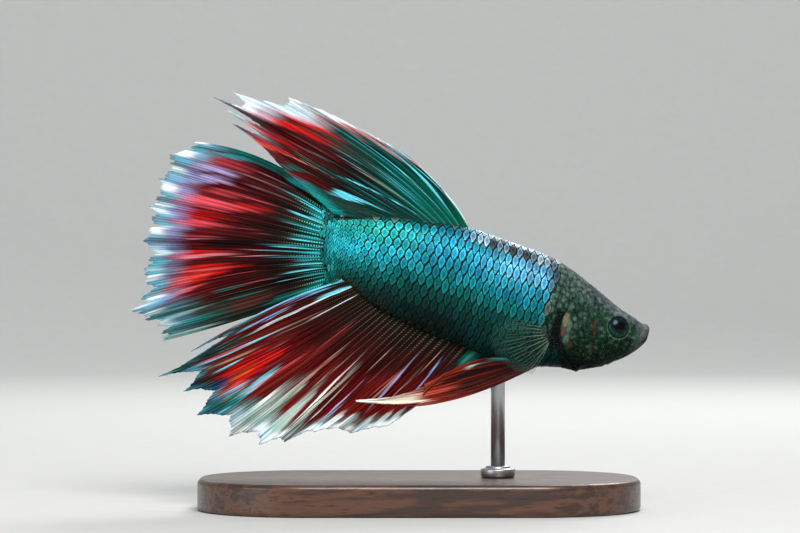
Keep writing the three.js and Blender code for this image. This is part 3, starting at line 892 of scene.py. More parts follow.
def scale_material():
    material, tree, shader = new_material("scale_foil_painted_highlights", Specular_IOR_Level=0.12)
    paint = own(tree, "Paint", "Color")
    leaf = knot(tree, "UVMap", out=0, uv_map="leaf")
    parts = tree.nodes.new("ShaderNodeSeparateXYZ")
    tree.links.new(leaf, parts.inputs[0])
    long, tall = FACE["long"], FACE["tall"]
    along = sums(tree, "MULTIPLY_ADD", parts.outputs[0], 2 / long, -FACE["at"] / long)
    up = sums(tree, "MULTIPLY_ADD", parts.outputs[1], 2 / tall, -1 / tall)
    sides = [sums(tree, "POWER", sums(tree, "ABSOLUTE", part), 1.4) for part in (along, up)]
    rim = sums(tree, "ADD", *sides)
    place = knot(tree, "TexCoord", out="Object")
    grain = cloud(tree, place, 0.13 * MM, 3.0, 0.6)
    blotches = cloud(tree, place, 0.2 * MM, 2.0, 0.6)
    ragged = sums(tree, "ADD", rim, spread(tree, grain, 0.2, 0.8, -0.16, 0.16))
    # A painted highlight just inside each scale's dark edge: the paint made paler and bluer, the
    # more so where the paint is bright.
    glow = spread(tree, knot(tree, "RGBToBW", {"Color": paint}), 0.1, 0.36, 0.0, 0.26)
    painted_highlight = mixed(tree, 1.0, paint, (1.6, 1.36, 1.34, 1.0), "MULTIPLY")
    painted_highlight = mixed(tree, glow, painted_highlight, rgba(132, 230, 244))
    deep = mixed(tree, 0.7, paint, rgba(50, 160, 226), "MULTIPLY")
    colour = mixed(tree, spread(tree, ragged, 0.15, 0.5), deep, paint)
    colour = mixed(tree, spread(tree, ragged, 0.42, 0.66, 0.0, 0.8), colour, painted_highlight)
    dim = mixed(tree, 1.0, paint, (0.26, 0.38, 0.38, 1.0), "MULTIPLY")
    colour = mixed(tree, spread(tree, blotches, 0.5, 0.36, 0.0, 0.75), colour, dim)
    colour = mixed(tree, spread(tree, ragged, 0.8, 0.92), colour, dim)
    colour = mixed(tree, spread(tree, ragged, 0.9, 1.0), colour, rgba(0, 6, 9))
    # Painted glints: speckles paler still than the painted highlight.
    lit = mixed(tree, 1.0, painted_highlight, (1.8, 1.6, 1.5, 1.0), "MULTIPLY")
    colour, height = speckled(tree, colour, lit, 0.1 * MM, 0.5)
    feed(tree, shader, Base_Color=colour)
    metal = spread(tree, ragged, 1.1, 0.9, 0.0, 0.35)
    feed(tree, shader, Metallic=metal)
    feed(tree, shader, Roughness=spread(tree, grain, 0.3, 0.7, 0.36, 0.52))
    feed(tree, shader, Normal=relief(tree, height, 0.015 * MM, 0.6))
    return material


def row_places(row, row_end):
    """Distances from the tail of a row's scales, out to the row's end on the tail fin."""
    start = TAIL_ROOT + 0.45 + (ROW_STEP * row % 1) * through(PITCHES, TAIL_ROOT)
    places = []
    x = start
    while x < COAT_FRONT:
        places.append(x)
        x += through(PITCHES, x)
    x = start - through(PITCHES, start)
    while x > row_end:
        places.append(x)
        x -= through(PITCHES, x)
    return places


def scales(side, name, material):
    draw = random.Random(41 + side)
    plate = bmesh.new()
    around, through_it = PLATE["around"], PLATE["through"]
    bmesh.ops.create_uvsphere(plate, u_segments=around, v_segments=through_it, radius=1)
    mould = bpy.data.meshes.new("plate_mould")
    plate.to_mesh(mould)
    plate.free()
    bm = bmesh.new()
    bm.from_mesh(mould)
    bmesh.ops.delete(bm, geom=bm.verts[:], context="VERTS")
    paint = paint_layer(bm, "Paint")
    leaf = bm.loops.layers.uv.new("leaf")
    bake = bm.loops.layers.uv.new("OFBake")
    for row in range(-1, ROWS):
        share = max((row + 0.5) / ROWS, 0.008)
        row_end = COAT_END + 1.3 * draw.random()
        for x in row_places(row, row_end):
            middle = flesh_point(x, girth_angle(x, share), 0.0, coat_section)
            if x < through(NECK, middle.z) + 0.1:
                size_now = 0.6 if row < 0 else 1 - 0.12 * eased(x, -0.6, -2.2)
                add_scale(bm, mould, paint, leaf, bake, side, (x, share, size_now), draw)
    bpy.data.meshes.remove(mould)
    if side > 0:  # laid on the left the plates come out mirrored
        bmesh.ops.reverse_faces(bm, faces=bm.faces)
    model_space(bm)
    piece("scales_" + name, bm, material, ["trunk_front", "trunk_rear", "tail_stalk"])


def add_scale(bm, mould, paint, leaf, bake, side, at, draw):
    """One plate laid on the flank: its flat form wrapped on the body and tipped up behind."""
    x, share, size = at
    _, arc = girth_at(x)
    long = PLATE["longer"] * through(PITCHES, x) * draw.uniform(0.95, 1.04)
    tall = arc / ROWS * size * draw.uniform(0.96, 1.04)
    shift = draw.uniform(-0.03, 0.03)
    middle = flesh_point(x, girth_angle(x, share), 0.0, coat_section)
    colour = (*scale_colour(x, middle.z, draw), 1.0)
    neck = through(NECK, middle.z)
    sink = eased(x, neck - 1.0, neck + 0.2)
    before = len(bm.verts)
    faces_before = len(bm.faces)
    bm.from_mesh(mould)
    bm.verts.ensure_lookup_table()
    bm.faces.ensure_lookup_table()
    flat = {}
    for vert in bm.verts[before:]:
        tail, up, lift = vert.co
        flat[vert] = (tail, up)
        place_x = x - long * tail
        place_share = share + (tall * up + shift) / arc
        raised = -COAT_DEPTH + 0.03 + TILT * (tail + 1) * 0.5 + PLATE["thick"] * lift
        raised += 0.03 * (1 - up * up) - 0.1 * sink
        turn = side * girth_angle(place_x, place_share)
        vert.co = flesh_point(place_x, turn, raised, coat_section)
        vert[paint] = colour
    centre = Vector((0.1 + 0.88 * x / SNOUT, 0.03 + 0.94 * share))
    for face in bm.faces[faces_before:]:
        face.smooth = True
        for loop in face.loops:
            tail, up = flat[loop.vert]
            loop[leaf].uv = (0.5 + 0.5 * tail, 0.5 + 0.5 * up)
            loop[bake].uv = centre + Vector((0.0015 * tail, 0.0015 * up))


foil = scale_material()
scales(-1, "right", foil)
scales(1, "left", foil)

# ---- Dorsal, tail and anal fins -----------------------------------------------------------------
# Each is a thin sheet cast in clear resin over fine forked rays, dyed while soft and touched with
# foil colour. The roots are let into the back, the tail and the belly; the edges are left ragged.

DYES = {
    "black": (10, 6, 8), "dark": (4, 34, 36), "green": (0, 84, 72), "teal": (0, 122, 112),
    "turquoise": (44, 186, 200), "cyan": (104, 220, 240), "blue": (40, 104, 190),
    "sky": (128, 186, 236), "greyteal": (110, 146, 138), "mint": (166, 220, 204),
    "milk": (186, 206, 196), "white": (240, 248, 250), "lavender": (184, 172, 226),
    "pink": (206, 140, 150), "rose": (226, 80, 92), "coral": (250, 100, 88),
    "orange": (214, 84, 26), "red": (222, 24, 20), "darkred": (104, 10, 14),
    "brown": (112, 34, 24), "beige": (182, 150, 130),
}
SHINE = {
    "cyan": 0.9, "turquoise": 0.9, "teal": 0.7, "sky": 0.6, "blue": 0.7, "dark": 0.5, "green": 0.7,
}
DULL = 0.12  # shine of the other dyes
FORKS = [(0.34, 0.52, 0.25), (0.62, 0.82, 0.125)]  # where a ray forks: start, end, how far apart
RAY_WIDTH = 0.085
BEAD_STEP = 0.36  # distance between the joints of a ray
DYE_GATHERS = 0.7  # how far the dye draws in from the sheet to its nearest ray
THIN_STREAK = 0.0085  # streaks narrower than this are painted lines that cross the rays

DORSAL_RAYS = [
    [(15.8, 6.6), (12.7, 10.5), (5.2, 14.1)],
    [(15.0, 6.7), (10.1, 12.9), (-3.8, 16.1)],
    [(13.7, 6.4), (6.2, 12.8), (-11.1, 17.2)],
    [(12.1, 6.2), (1.2, 13.2), (-18.2, 16.0)],
    [(10.7, 6.0), (-1.9, 11.3), (-20.3, 14.8)],
    [(9.2, 5.8), (-2.7, 9.2), (-18.4, 13.7)],
    [(8.0, 5.6), (-2.9, 7.4), (-17.2, 12.2)],
    [(5.6, 4.9), (1.8, 4.5), (-1.6, 4.3)],
]
TAIL_RAYS = [
    [(-0.3, 4.0), (-9.6, 10.6), (-21.6, 8.8)],
    [(-0.2, 3.1), (-10.3, 6.6), (-24.4, 6.3)],
    [(0.0, 2.0), (-10.9, 3.0), (-25.0, 2.9)],
    [(0.3, 0.9), (-11.5, 0.3), (-25.4, -0.8)],
    [(0.5, -0.1), (-11.5, -2.1), (-24.9, -5.2)],
    [(0.8, -1.1), (-11.0, -3.9), (-23.8, -8.9)],
    [(1.1, -2.0), (-8.3, -4.5), (-24.1, -14.6)],
    [(1.3, -2.6), (-6.5, -6.3), (-22.2, -15.3)],
    [(1.7, -3.3), (-5.4, -9.7), (-19.2, -17.2)],
]
ANAL_RAYS = [
    [(2.0, -3.4), (-4.5, -6.6), (-14.8, -17.3)],
    [(3.1, -4.0), (-5.0, -9.0), (-15.5, -19.4)],
    [(4.2, -4.5), (-4.9, -12.4), (-18.0, -21.4)],
    [(5.2, -4.9), (-2.7, -13.2), (-14.4, -22.4)],
    [(6.5, -5.3), (-1.0, -14.7), (-12.0, -24.9)],
    [(8.2, -5.8), (1.7, -15.0), (-7.4, -26.5)],
    [(10.2, -6.1), (3.9, -16.0), (-3.4, -26.5)],
    [(12.2, -6.5), (6.1, -16.8), (-0.4, -25.4)],
    [(14.2, -6.8), (9.2, -16.0), (2.9, -23.1)],
    [(17.1, -7.1), (12.9, -15.0), (7.5, -22.2)],
    [(19.0, -7.3), (15.8, -13.6), (11.6, -20.1)],
    [(24.6, -8.1), (20.4, -10.2), (14.9, -16.2)],
]


def wave(count, u, start=0.0):
    return math.sin(2 * math.pi * (count * u + start))


@functools.lru_cache(maxsize=None)
def chance(*key):
    """A fixed random share for a ray, a branch or a streak."""
    number = 0
    for part in key:
        number = number * 131 + part + 17
    return random.Random(number).random()


def ray_curve(rays, u):
    """The root, bend and tip of the ray at u, read between the guide rays."""
    last = len(rays) - 1

    def between(part, axis):
        return through([(i / last, ray[part][axis]) for i, ray in enumerate(rays)], u)

    return [Vector((between(part, 0), between(part, 1))) for part in range(3)]


def forked(u, v, rays_in_fin):
    """The ray at a place in a fin: which one, which branch, and how far off its middle it is."""
    place = u * rays_in_fin + 0.5
    ray = int(place)
    part = place - ray
    middle, branch = 0.5, []
    for start, end, apart in FORKS:
        side = 1 if part >= middle else -1
        middle += side * apart * eased(v, start, end)
        branch.append(side if v > start else 0)
    return ray, tuple(branch), part - middle


def tone_of(ray, branch, v, seed):
    """A random share for a ray that drifts apart between its branches."""
    tone = chance(seed, ray)
    for level, (start, end, _) in enumerate(FORKS):
        if branch[level]:
            other = chance(seed, ray, *branch[: level + 1])
            tone += (other - tone) * 0.5 * eased(v, start, end)
    return tone


def between_tips(place):
    return (1 - abs(2 * (place % 1) - 1)) ** 0.7


def edge_reach(form, u):
    """Share of its guide length that a column reaches: lobes, then rays, then branches."""
    guides = len(form["rays"]) - 1
    reach = 1 - form["notch"](u) * between_tips(u * guides)
    part = (u * form["bones"] + 0.5) % 1
    in_ray = abs(2 * part - 1)
    in_branch = abs(((part * 4) % 1) * 2 - 1)
    branch = int(part * 4)
    ray = int(u * form["bones"] + 0.5)
    shorter = form["ragged"] * chance(form["seed"], ray, branch, 5)
    return reach - form["fringe"] * (0.5 * in_ray**2 + in_branch) - shorter * in_ray


def ground_colour(stops, v):
    for (v0, first), (v1, second) in zip(stops, stops[1:]):
        if v <= v1:
            return over(linear(*first), linear(*second), eased(v, v0, v1))
    return linear(*stops[-1][1])


def streak_share(streak, painted, gathered, v, tone, blurred):
    """How fully a streak covers a place; its ends are ragged from ray to ray."""
    _, (u0, v0), (u1, v1), width, strength = streak
    crossing = abs(u1 - u0) > 4 * width
    u = painted if width < THIN_STREAK or crossing else gathered
    t = (v - v0) / (v1 - v0) + 0.34 * (tone - 0.5)
    if not -0.05 < t < 1.05:
        return 0.0
    taper = min(eased(t, -0.05, 0.3 + 0.35 * blurred), eased(t, 1.05, 0.72))
    middle = u0 + (u1 - u0) * t
    away = abs(u - middle) / (width * (0.35 + 0.65 * taper))
    return strength * taper ** (0.6 + 0.6 * blurred) * eased(away, 1.15, 0.8 - 0.4 * blurred)


def dyed(form, painted, u, v, row, tone):
    """The colour of a fin and how much it shines at a place, painted and as the dye gathers."""
    colour = form["ground"](u, v)
    gain = 0.62 + 0.7 * tone
    colour = [value * gain for value in colour]
    shine = form["shine"](u, v)
    for streak in form["streaks"]:
        share = streak_share(streak, painted, u, v, tone, form["blurred"])
        if share > 0.003:
            dye = [value * (0.82 + 0.3 * tone) for value in linear(*DYES[streak[0]])]
            colour = over(colour, dye, share)
            shine += (SHINE.get(streak[0], DULL) - shine) * share
    edge, strength, soft = form["margin"](u)
    edge += 0.05 * (tone - 0.5)
    hazy = (0.75 - 0.35 * eased(u, 0.5, 0.6)) * strength
    hazy *= eased(row, edge - 4.0 * soft, edge - soft)
    colour = over(colour, linear(*form["haze"](u)), hazy)
    white = strength * eased(row, edge - soft, edge + soft)
    tip = over(linear(86, 158, 178), linear(*form["tip"](u)), eased(tone, 0.1, 0.55))
    colour = over(colour, tip, white)
    return colour, shine * (1 - 0.6 * white)


def fin_material(name, clear=None):
    material, tree, shader = new_material(name, Specular_IOR_Level=0.07)
    dye = own(tree, "Paint", "Color")
    fleck = own(tree, "Fleck", "Color")
    fleck_share = own(tree, "Fleck", "Alpha")
    bone = own(tree, "Bone")
    shine = own(tree, "Shine")
    along = own(tree, "Along")
    place = knot(tree, "TexCoord", out="Object")
    grain = cloud(tree, place, 0.3 * MM, 3.0, 0.6)
    dark = mixed(tree, 1.0, dye, (0.5, 0.5, 0.5, 1.0), "MULTIPLY")
    colour = mixed(tree, spread(tree, grain, 0.45, 0.8, 0.0, 0.35), dye, dark)
    joints = sums(tree, "SINE", sums(tree, "MULTIPLY", along, 2 * math.pi / BEAD_STEP))
    beads = spread(tree, joints, -0.25, 0.45)
    dotted = sums(tree, "MULTIPLY", beads, spread(tree, bone, 0.45, 0.8))
    shown = sums(tree, "MULTIPLY", dotted, fleck_share)
    colour = mixed(tree, shown, colour, fleck)
    feed(tree, shader, Base_Color=colour)
    feed(tree, shader, Metallic=sums(tree, "MULTIPLY", shine, 0.42))
    feed(tree, shader, Roughness=spread(tree, grain, 0.3, 0.7, 0.34, 0.52))
    ridged = sums(tree, "ADD", sums(tree, "MULTIPLY", dotted, 0.5), grain)
    feed(tree, shader, Normal=relief(tree, ridged, 0.03 * MM, 0.7))
    if clear:
        seen = spread(tree, bone, 0.3, 0.95, clear, 0.55)
        thinner = spread(tree, along, 3.5, 8.0, 1.0, 0.4)
        feed(tree, shader, Alpha=sums(tree, "MULTIPLY", seen, thinner))
    return material


def fin(name, form, material, nodes, side=-1):
    """A fin as one closed sheet: thick along its rays and thin between them."""
    bm = bmesh.new()
    columns = form["bones"] * form["fineness"]
    bmesh.ops.create_grid(bm, x_segments=columns, y_segments=form["rows"], size=0.5)
    paint = paint_layer(bm, "Paint")
    fleck = paint_layer(bm, "Fleck")
    bone, shine, along = [bm.verts.layers.float.new(layer) for layer in ("Bone", "Shine", "Along")]
    bake = bm.loops.layers.uv.new("OFBake")
    deform = bm.verts.layers.deform.verify()
    curves = {c: ray_curve(form["rays"], c / columns) for c in range(columns + 1)}
    reaches = {c: edge_reach(form, c / columns) for c in range(columns + 1)}
    root_step = (curves[columns][0] - curves[0][0]).length / form["bones"]
    spans = [(curves[c + 1][2] - curves[c][2]).length for c in range(columns)]
    edge_step = sum(spans) / form["bones"]
    flat = {}
    for vert in bm.verts:
        column = round((vert.co.x + 0.5) * columns)
        u, row = column / columns, vert.co.y + 0.5
        v = row * reaches[column]
        root, bend, end = curves[column]
        at = (1 - v) ** 2 * root + 2 * v * (1 - v) * bend + v * v * end
        ray, branch, off = forked(u, v, form["bones"])
        step = root_step + (edge_step - root_step) * v
        wide = form.get("ray", RAY_WIDTH) * (1.0 - 0.25 * v) * (1 + 1.1 * eased(v, 0.42, 0.2))
        ridge = swell(off * step, wide)
        gathered = u - DYE_GATHERS * off / form["bones"]
        tone = tone_of(ray, branch, v, form["seed"])
        pleat = (0.02 + form["pleat"] * v) * math.cos(2 * math.pi * (u * form["bones"]))
        drift = 0.5 * v * v * noise.noise(Vector((u * 9, v * 2, form["seed"])))
        across = form["sideways"](u, v) + pleat + drift
        vert.co = (at.x, -across * side, at.y)
        colour, gleam = dyed(form, u, gathered, v, row, tone)
        light = eased(0.3 * colour[0] + 0.6 * colour[1] + 0.1 * colour[2], 0.08, 0.6)
        between = 0.4 + 0.52 * light
        between += (1 - between) * form["blurred"] * eased(v, 0.5, 0.95)
        shade = between + (1.25 - 0.2 * light - between) * ridge
        colour = [value * shade for value in colour]
        vert[paint] = (*colour, 1.0)
        vert[fleck] = form["fleck"](u, v)
        vert[bone], vert[shine] = ridge, gleam
        vert[along] = v * ((bend - root).length + (end - bend).length)
        vert[deform][0] = form["thin"] + (1 - form["thin"]) * ridge * (1 - 0.45 * v)
        flat[vert] = (u, row)
    for face in bm.faces:
        for loop in face.loops:
            loop[bake].uv = flat[loop.vert]
    model_space(bm)
    made = piece(name, bm, material, nodes)
    made.vertex_groups.new(name="thickness")
    sheet = made.modifiers.new("sheet", "SOLIDIFY")
    sheet.thickness = form["thick"] * MM
    sheet.offset = 0.0
    sheet.vertex_group = "thickness"


def tail_ground(u, v):
    stops = [
        (0.0, (0, 76, 70)), (0.12, (0, 60, 54)), (0.22, (8, 28, 24)), (0.34, (32, 10, 8)),
        (0.5, (60, 8, 10)), (0.72, (84, 10, 16)), (0.9, (104, 40, 56)),
    ]
    colour = ground_colour(stops, v)
    lower = eased(u, 0.8, 0.95)
    return over(colour, linear(24, 62, 54), 0.85 * lower * eased(v, 0.3, 0.7))


def tail_haze(u):
    blue = over((96, 166, 186), (146, 152, 200), eased(u, 0.06, 0.16))
    return over(blue, (110, 160, 200), eased(u, 0.42, 0.6))


def tail_tip(u):
    white = eased(wave(11, u, 0.2) + 0.4 * wave(29, u), -0.5, 0.7)
    return over((84, 166, 178), (244, 250, 250), white)


def anal_ground(u, v):
    stops = [
        (0.0, (22, 22, 14)), (0.12, (30, 14, 9)), (0.28, (60, 8, 7)), (0.5, (106, 9, 6)),
        (0.8, (112, 15, 10)), (1.0, (60, 18, 20)),
    ]
    red = ground_colour(stops, v)
    return over(red, linear(4, 70, 66), eased(u, 0.9, 0.98) * eased(v, 0.7, 0.4))


def anal_haze(u):
    return over((2, 50, 48), (150, 188, 184), eased(u, 0.38, 0.43))


def anal_tip(u):
    teal = over((4, 40, 48), (70, 170, 190), eased(wave(34, u), -0.2, 0.9))
    return over(teal, (236, 246, 250), eased(u, 0.38, 0.43))


def dorsal_ground(u, v):
    front = [(0.0, (0, 122, 104)), (0.5, (0, 108, 90)), (1.0, (6, 84, 76))]
    rear = [
        (0.0, (0, 88, 76)), (0.24, (0, 70, 60)), (0.42, (46, 26, 22)), (0.6, (84, 14, 16)),
        (1.0, (96, 16, 20)),
    ]
    behind = eased(u + 0.28 * v, 0.42, 0.68)
    both = over(ground_colour(front, v), ground_colour(rear, v), behind)
    edge = over(linear(0, 62, 54), linear(0, 130, 128), eased(v, 0.66, 0.9))
    return over(both, edge, eased(u, 0.915, 0.945))


def lengthwise(colour, places, start, end, width, strength):
    """Like streaks at several places along a fin."""
    return [(colour, (u, start), (u + 0.006, end), width, strength) for u in places]


def fine_lines(seed, colours, count, across, along, strength):
    """Single branches touched in with a pale or dark line, scattered over a part of a fin."""
    draw = random.Random(seed)
    lines = []
    for _ in range(count):
        u, v = draw.uniform(*across), draw.uniform(*along)
        end = (u + draw.uniform(-0.004, 0.014), v + draw.uniform(0.16, 0.42))
        width = draw.uniform(0.0028, 0.005)
        colour = draw.choice(colours.split())
        lines.append((colour, (u, v), end, width, strength * draw.uniform(0.5, 1)))
    return lines


TAIL = {
    "rays": TAIL_RAYS, "bones": 24, "fineness": 32, "rows": 46, "seed": 3, "fringe": 0.012,
    "ragged": 0.05, "blurred": 0.55, "haze": tail_haze, "tip": tail_tip,
    "thick": 0.34, "thin": 0.28, "pleat": 0.11,
    "notch": lambda u: 0.04,
    "sideways": lambda u, v: 6.5 * v**1.8 + 0.9 * v**1.4 * wave(6, u),
    "ground": tail_ground,
    "shine": lambda u, v: 0.5 * eased(v, 0.3, 0.1) + 0.2 * eased(u, 0.85, 0.95),
    "fleck": lambda u, v: (
        *over(linear(84, 214, 204), linear(120, 112, 80), eased(v, 0.16, 0.3)),
        0.8 * eased(v, 0.42, 0.16),
    ),
    "margin": lambda u: (
        0.925 + 0.03 * eased(u, 0.7, 0.9),
        (0.72 + 0.26 * wave(11, u, 0.2)) * (1 - 0.5 * eased(u, 0.85, 1.0)),
        0.035,
    ),
    "streaks": [
        ("teal", (0.004, -0.1), (0.008, 1.0), 0.03, 0.95),
        ("turquoise", (0.02, 0.12), (0.035, 0.45), 0.016, 0.8),
        ("turquoise", (0.04, 0.58), (0.045, 0.84), 0.014, 0.8),
        ("rose", (0.06, 0.5), (0.10, 0.88), 0.03, 0.3),
        ("lavender", (0.12, 0.62), (0.15, 0.92), 0.02, 0.6),
        ("lavender", (0.16, 0.64), (0.21, 0.88), 0.028, 0.85),
        ("rose", (0.2, 0.48), (0.25, 0.82), 0.018, 0.35),
        ("red", (0.25, 0.42), (0.30, 0.7), 0.034, 0.45),
        ("rose", (0.28, 0.5), (0.32, 0.98), 0.034, 0.9),
        ("red", (0.36, 0.5), (0.37, 0.88), 0.026, 0.6),
        ("rose", (0.40, 0.54), (0.42, 0.88), 0.02, 0.7),
        ("black", (0.46, 0.2), (0.5, 0.76), 0.035, 0.7),
        ("red", (0.55, 0.5), (0.58, 0.9), 0.03, 0.6),
        ("pink", (0.572, 0.5), (0.59, 0.88), 0.012, 0.8),
        ("red", (0.63, 0.46), (0.70, 0.92), 0.04, 0.85),
        ("coral", (0.65, 0.56), (0.695, 0.9), 0.02, 0.35),
        ("coral", (0.72, 0.66), (0.74, 0.88), 0.012, 0.6),
        ("brown", (0.80, 0.45), (0.86, 0.86), 0.03, 0.4),
        ("brown", (0.9, 0.4), (0.95, 0.7), 0.03, 0.4),
        ("sky", (0.735, 0.8), (0.76, 0.95), 0.018, 0.9),
        ("teal", (0.92, -0.1), (0.97, 0.45), 0.03, 0.8),
        *lengthwise("cyan", (0.115, 0.29, 0.42), 0.04, 0.28, 0.006, 0.9),
        *lengthwise("turquoise", (0.17, 0.33, 0.60), 0.04, 0.22, 0.006, 0.7),
        *lengthwise("cyan", (0.21, 0.49, 0.68, 0.76), 0.02, 0.34, 0.006, 0.95),
        *lengthwise("turquoise", (0.16, 0.25, 0.38, 0.54), -0.1, 0.24, 0.014, 0.6),
        *lengthwise("turquoise", (0.64, 0.72, 0.82), -0.1, 0.24, 0.014, 0.6),
        *fine_lines(38, "cyan turquoise teal", 26, (0.08, 0.86), (0.02, 0.12), 0.9),
        *fine_lines(31, "pink black black rose brown", 44, (0.06, 0.8), (0.22, 0.6), 0.65),
        *fine_lines(32, "teal greyteal dark", 12, (0.78, 0.98), (0.2, 0.6), 0.8),
        *lengthwise("turquoise", (0.05, 0.13, 0.19, 0.31, 0.36), 0.84, 0.98, 0.012, 0.8),
        *lengthwise("turquoise", (0.44, 0.54, 0.60, 0.68), 0.84, 0.98, 0.012, 0.8),
        *lengthwise("sky", (0.08, 0.22, 0.39, 0.52, 0.67), 0.82, 1.0, 0.016, 0.75),
        *lengthwise("mint", (0.84, 0.89, 0.985), 0.68, 1.04, 0.013, 0.75),
        *lengthwise("teal", (0.81, 0.865, 0.94), 0.66, 1.02, 0.016, 0.7),
    ],
}
ANAL = {
    "rays": ANAL_RAYS, "bones": 33, "fineness": 24, "rows": 46, "seed": 5, "fringe": 0.005,
    "ragged": 0.012, "blurred": 0.1, "haze": anal_haze, "tip": anal_tip,
    "thick": 0.32, "thin": 0.28, "pleat": 0.1,
    "notch": lambda u: 0.05 + 0.2 * (1 - u) ** 3,
    "sideways": lambda u, v: -0.8 * v * v + 0.9 * v**1.5 * wave(6, u, 0.3),
    "ground": anal_ground,
    "shine": lambda u, v: 0.05,
    "fleck": lambda u, v: (*linear(128, 104, 82), 0.5 * eased(v, 0.34, 0.08)),
    "margin": lambda u: (
        0.96 - 0.03 * eased(u, 0.34, 0.4),
        (0.7 + 0.2 * eased(u, 0.36, 0.42)) * eased(u, 1.0, 0.93),
        0.03,
    ),
    "streaks": [
        ("cyan", (0.0, -0.05), (0.0, 0.5), 0.018, 0.9),
        ("sky", (0.0, 0.36), (0.0, 0.7), 0.014, 0.8),
        ("white", (0.072, -0.1), (0.15, 1.0), 0.0062, 1.0),
        ("cyan", (0.07, -0.06), (0.09, 0.3), 0.013, 0.8),
        ("teal", (0.13, 0.6), (0.16, 1.02), 0.02, 0.6),
        ("white", (0.19, 0.02), (0.205, 0.28), 0.0037, 0.9),
        ("cyan", (0.185, 0.36), (0.215, 1.06), 0.0046, 1.0),
        ("teal", (0.19, 0.82), (0.24, 1.04), 0.022, 0.8),
        ("pink", (0.26, 0.42), (0.262, 0.7), 0.0043, 0.8),
        ("red", (0.275, 0.5), (0.315, 0.88), 0.042, 0.95),
        ("orange", (0.295, 0.66), (0.305, 0.84), 0.016, 0.7),
        ("coral", (0.335, 0.7), (0.36, 0.9), 0.017, 0.9),
        ("blue", (0.3, 0.8), (0.34, 1.2), 0.022, 0.9),
        ("cyan", (0.35, 0.55), (0.41, 1.04), 0.010, 0.85),
        ("teal", (0.36, 0.72), (0.385, 1.04), 0.026, 0.75),
        ("milk", (0.445, 0.52), (0.48, 1.25), 0.033, 1.0),
        ("white", (0.42, 0.46), (0.45, 1.25), 0.005, 1.0),
        ("greyteal", (0.465, 0.6), (0.505, 1.2), 0.005, 0.8),
        ("milk", (0.52, 0.48), (0.56, 1.2), 0.018, 0.95),
        ("white", (0.5, 0.42), (0.54, 1.2), 0.0031, 1.0),
        ("white", (0.55, 0.38), (0.592, 1.2), 0.004, 1.0),
        ("milk", (0.575, 0.48), (0.625, 1.2), 0.015, 0.9),
        ("white", (0.6, 0.34), (0.65, 1.1), 0.0031, 0.95),
        ("lavender", (0.655, 0.34), (0.70, 0.96), 0.005, 0.9),
        ("lavender", (0.755, 0.16), (0.79, 0.8), 0.0037, 0.9),
        ("cyan", (0.69, 0.62), (0.715, 0.98), 0.0043, 0.8),
        ("sky", (0.85, 0.16), (0.89, 0.7), 0.0034, 0.9),
        ("teal", (0.93, 0.02), (1.0, 0.5), 0.03, 0.8),
        *lengthwise("white", (0.735, 0.775, 0.82, 0.865, 0.905), 0.76, 1.06, 0.012, 0.85),
        *lengthwise("brown", (0.16, 0.4, 0.5, 0.6), 0.3, 0.8, 0.012, 0.6),
        *lengthwise("teal", (0.025, 0.055, 0.115, 0.175), 0.6, 1.1, 0.009, 0.8),
        *fine_lines(33, "rose beige black darkred brown", 56, (0.1, 0.92), (0.12, 0.6), 0.65),
        *fine_lines(37, "cyan turquoise sky black dark", 34, (0.02, 0.42), (0.66, 0.9), 0.95),
        *fine_lines(34, "cyan sky dark", 10, (0.0, 0.12), (0.05, 0.5), 0.8),
    ],
}
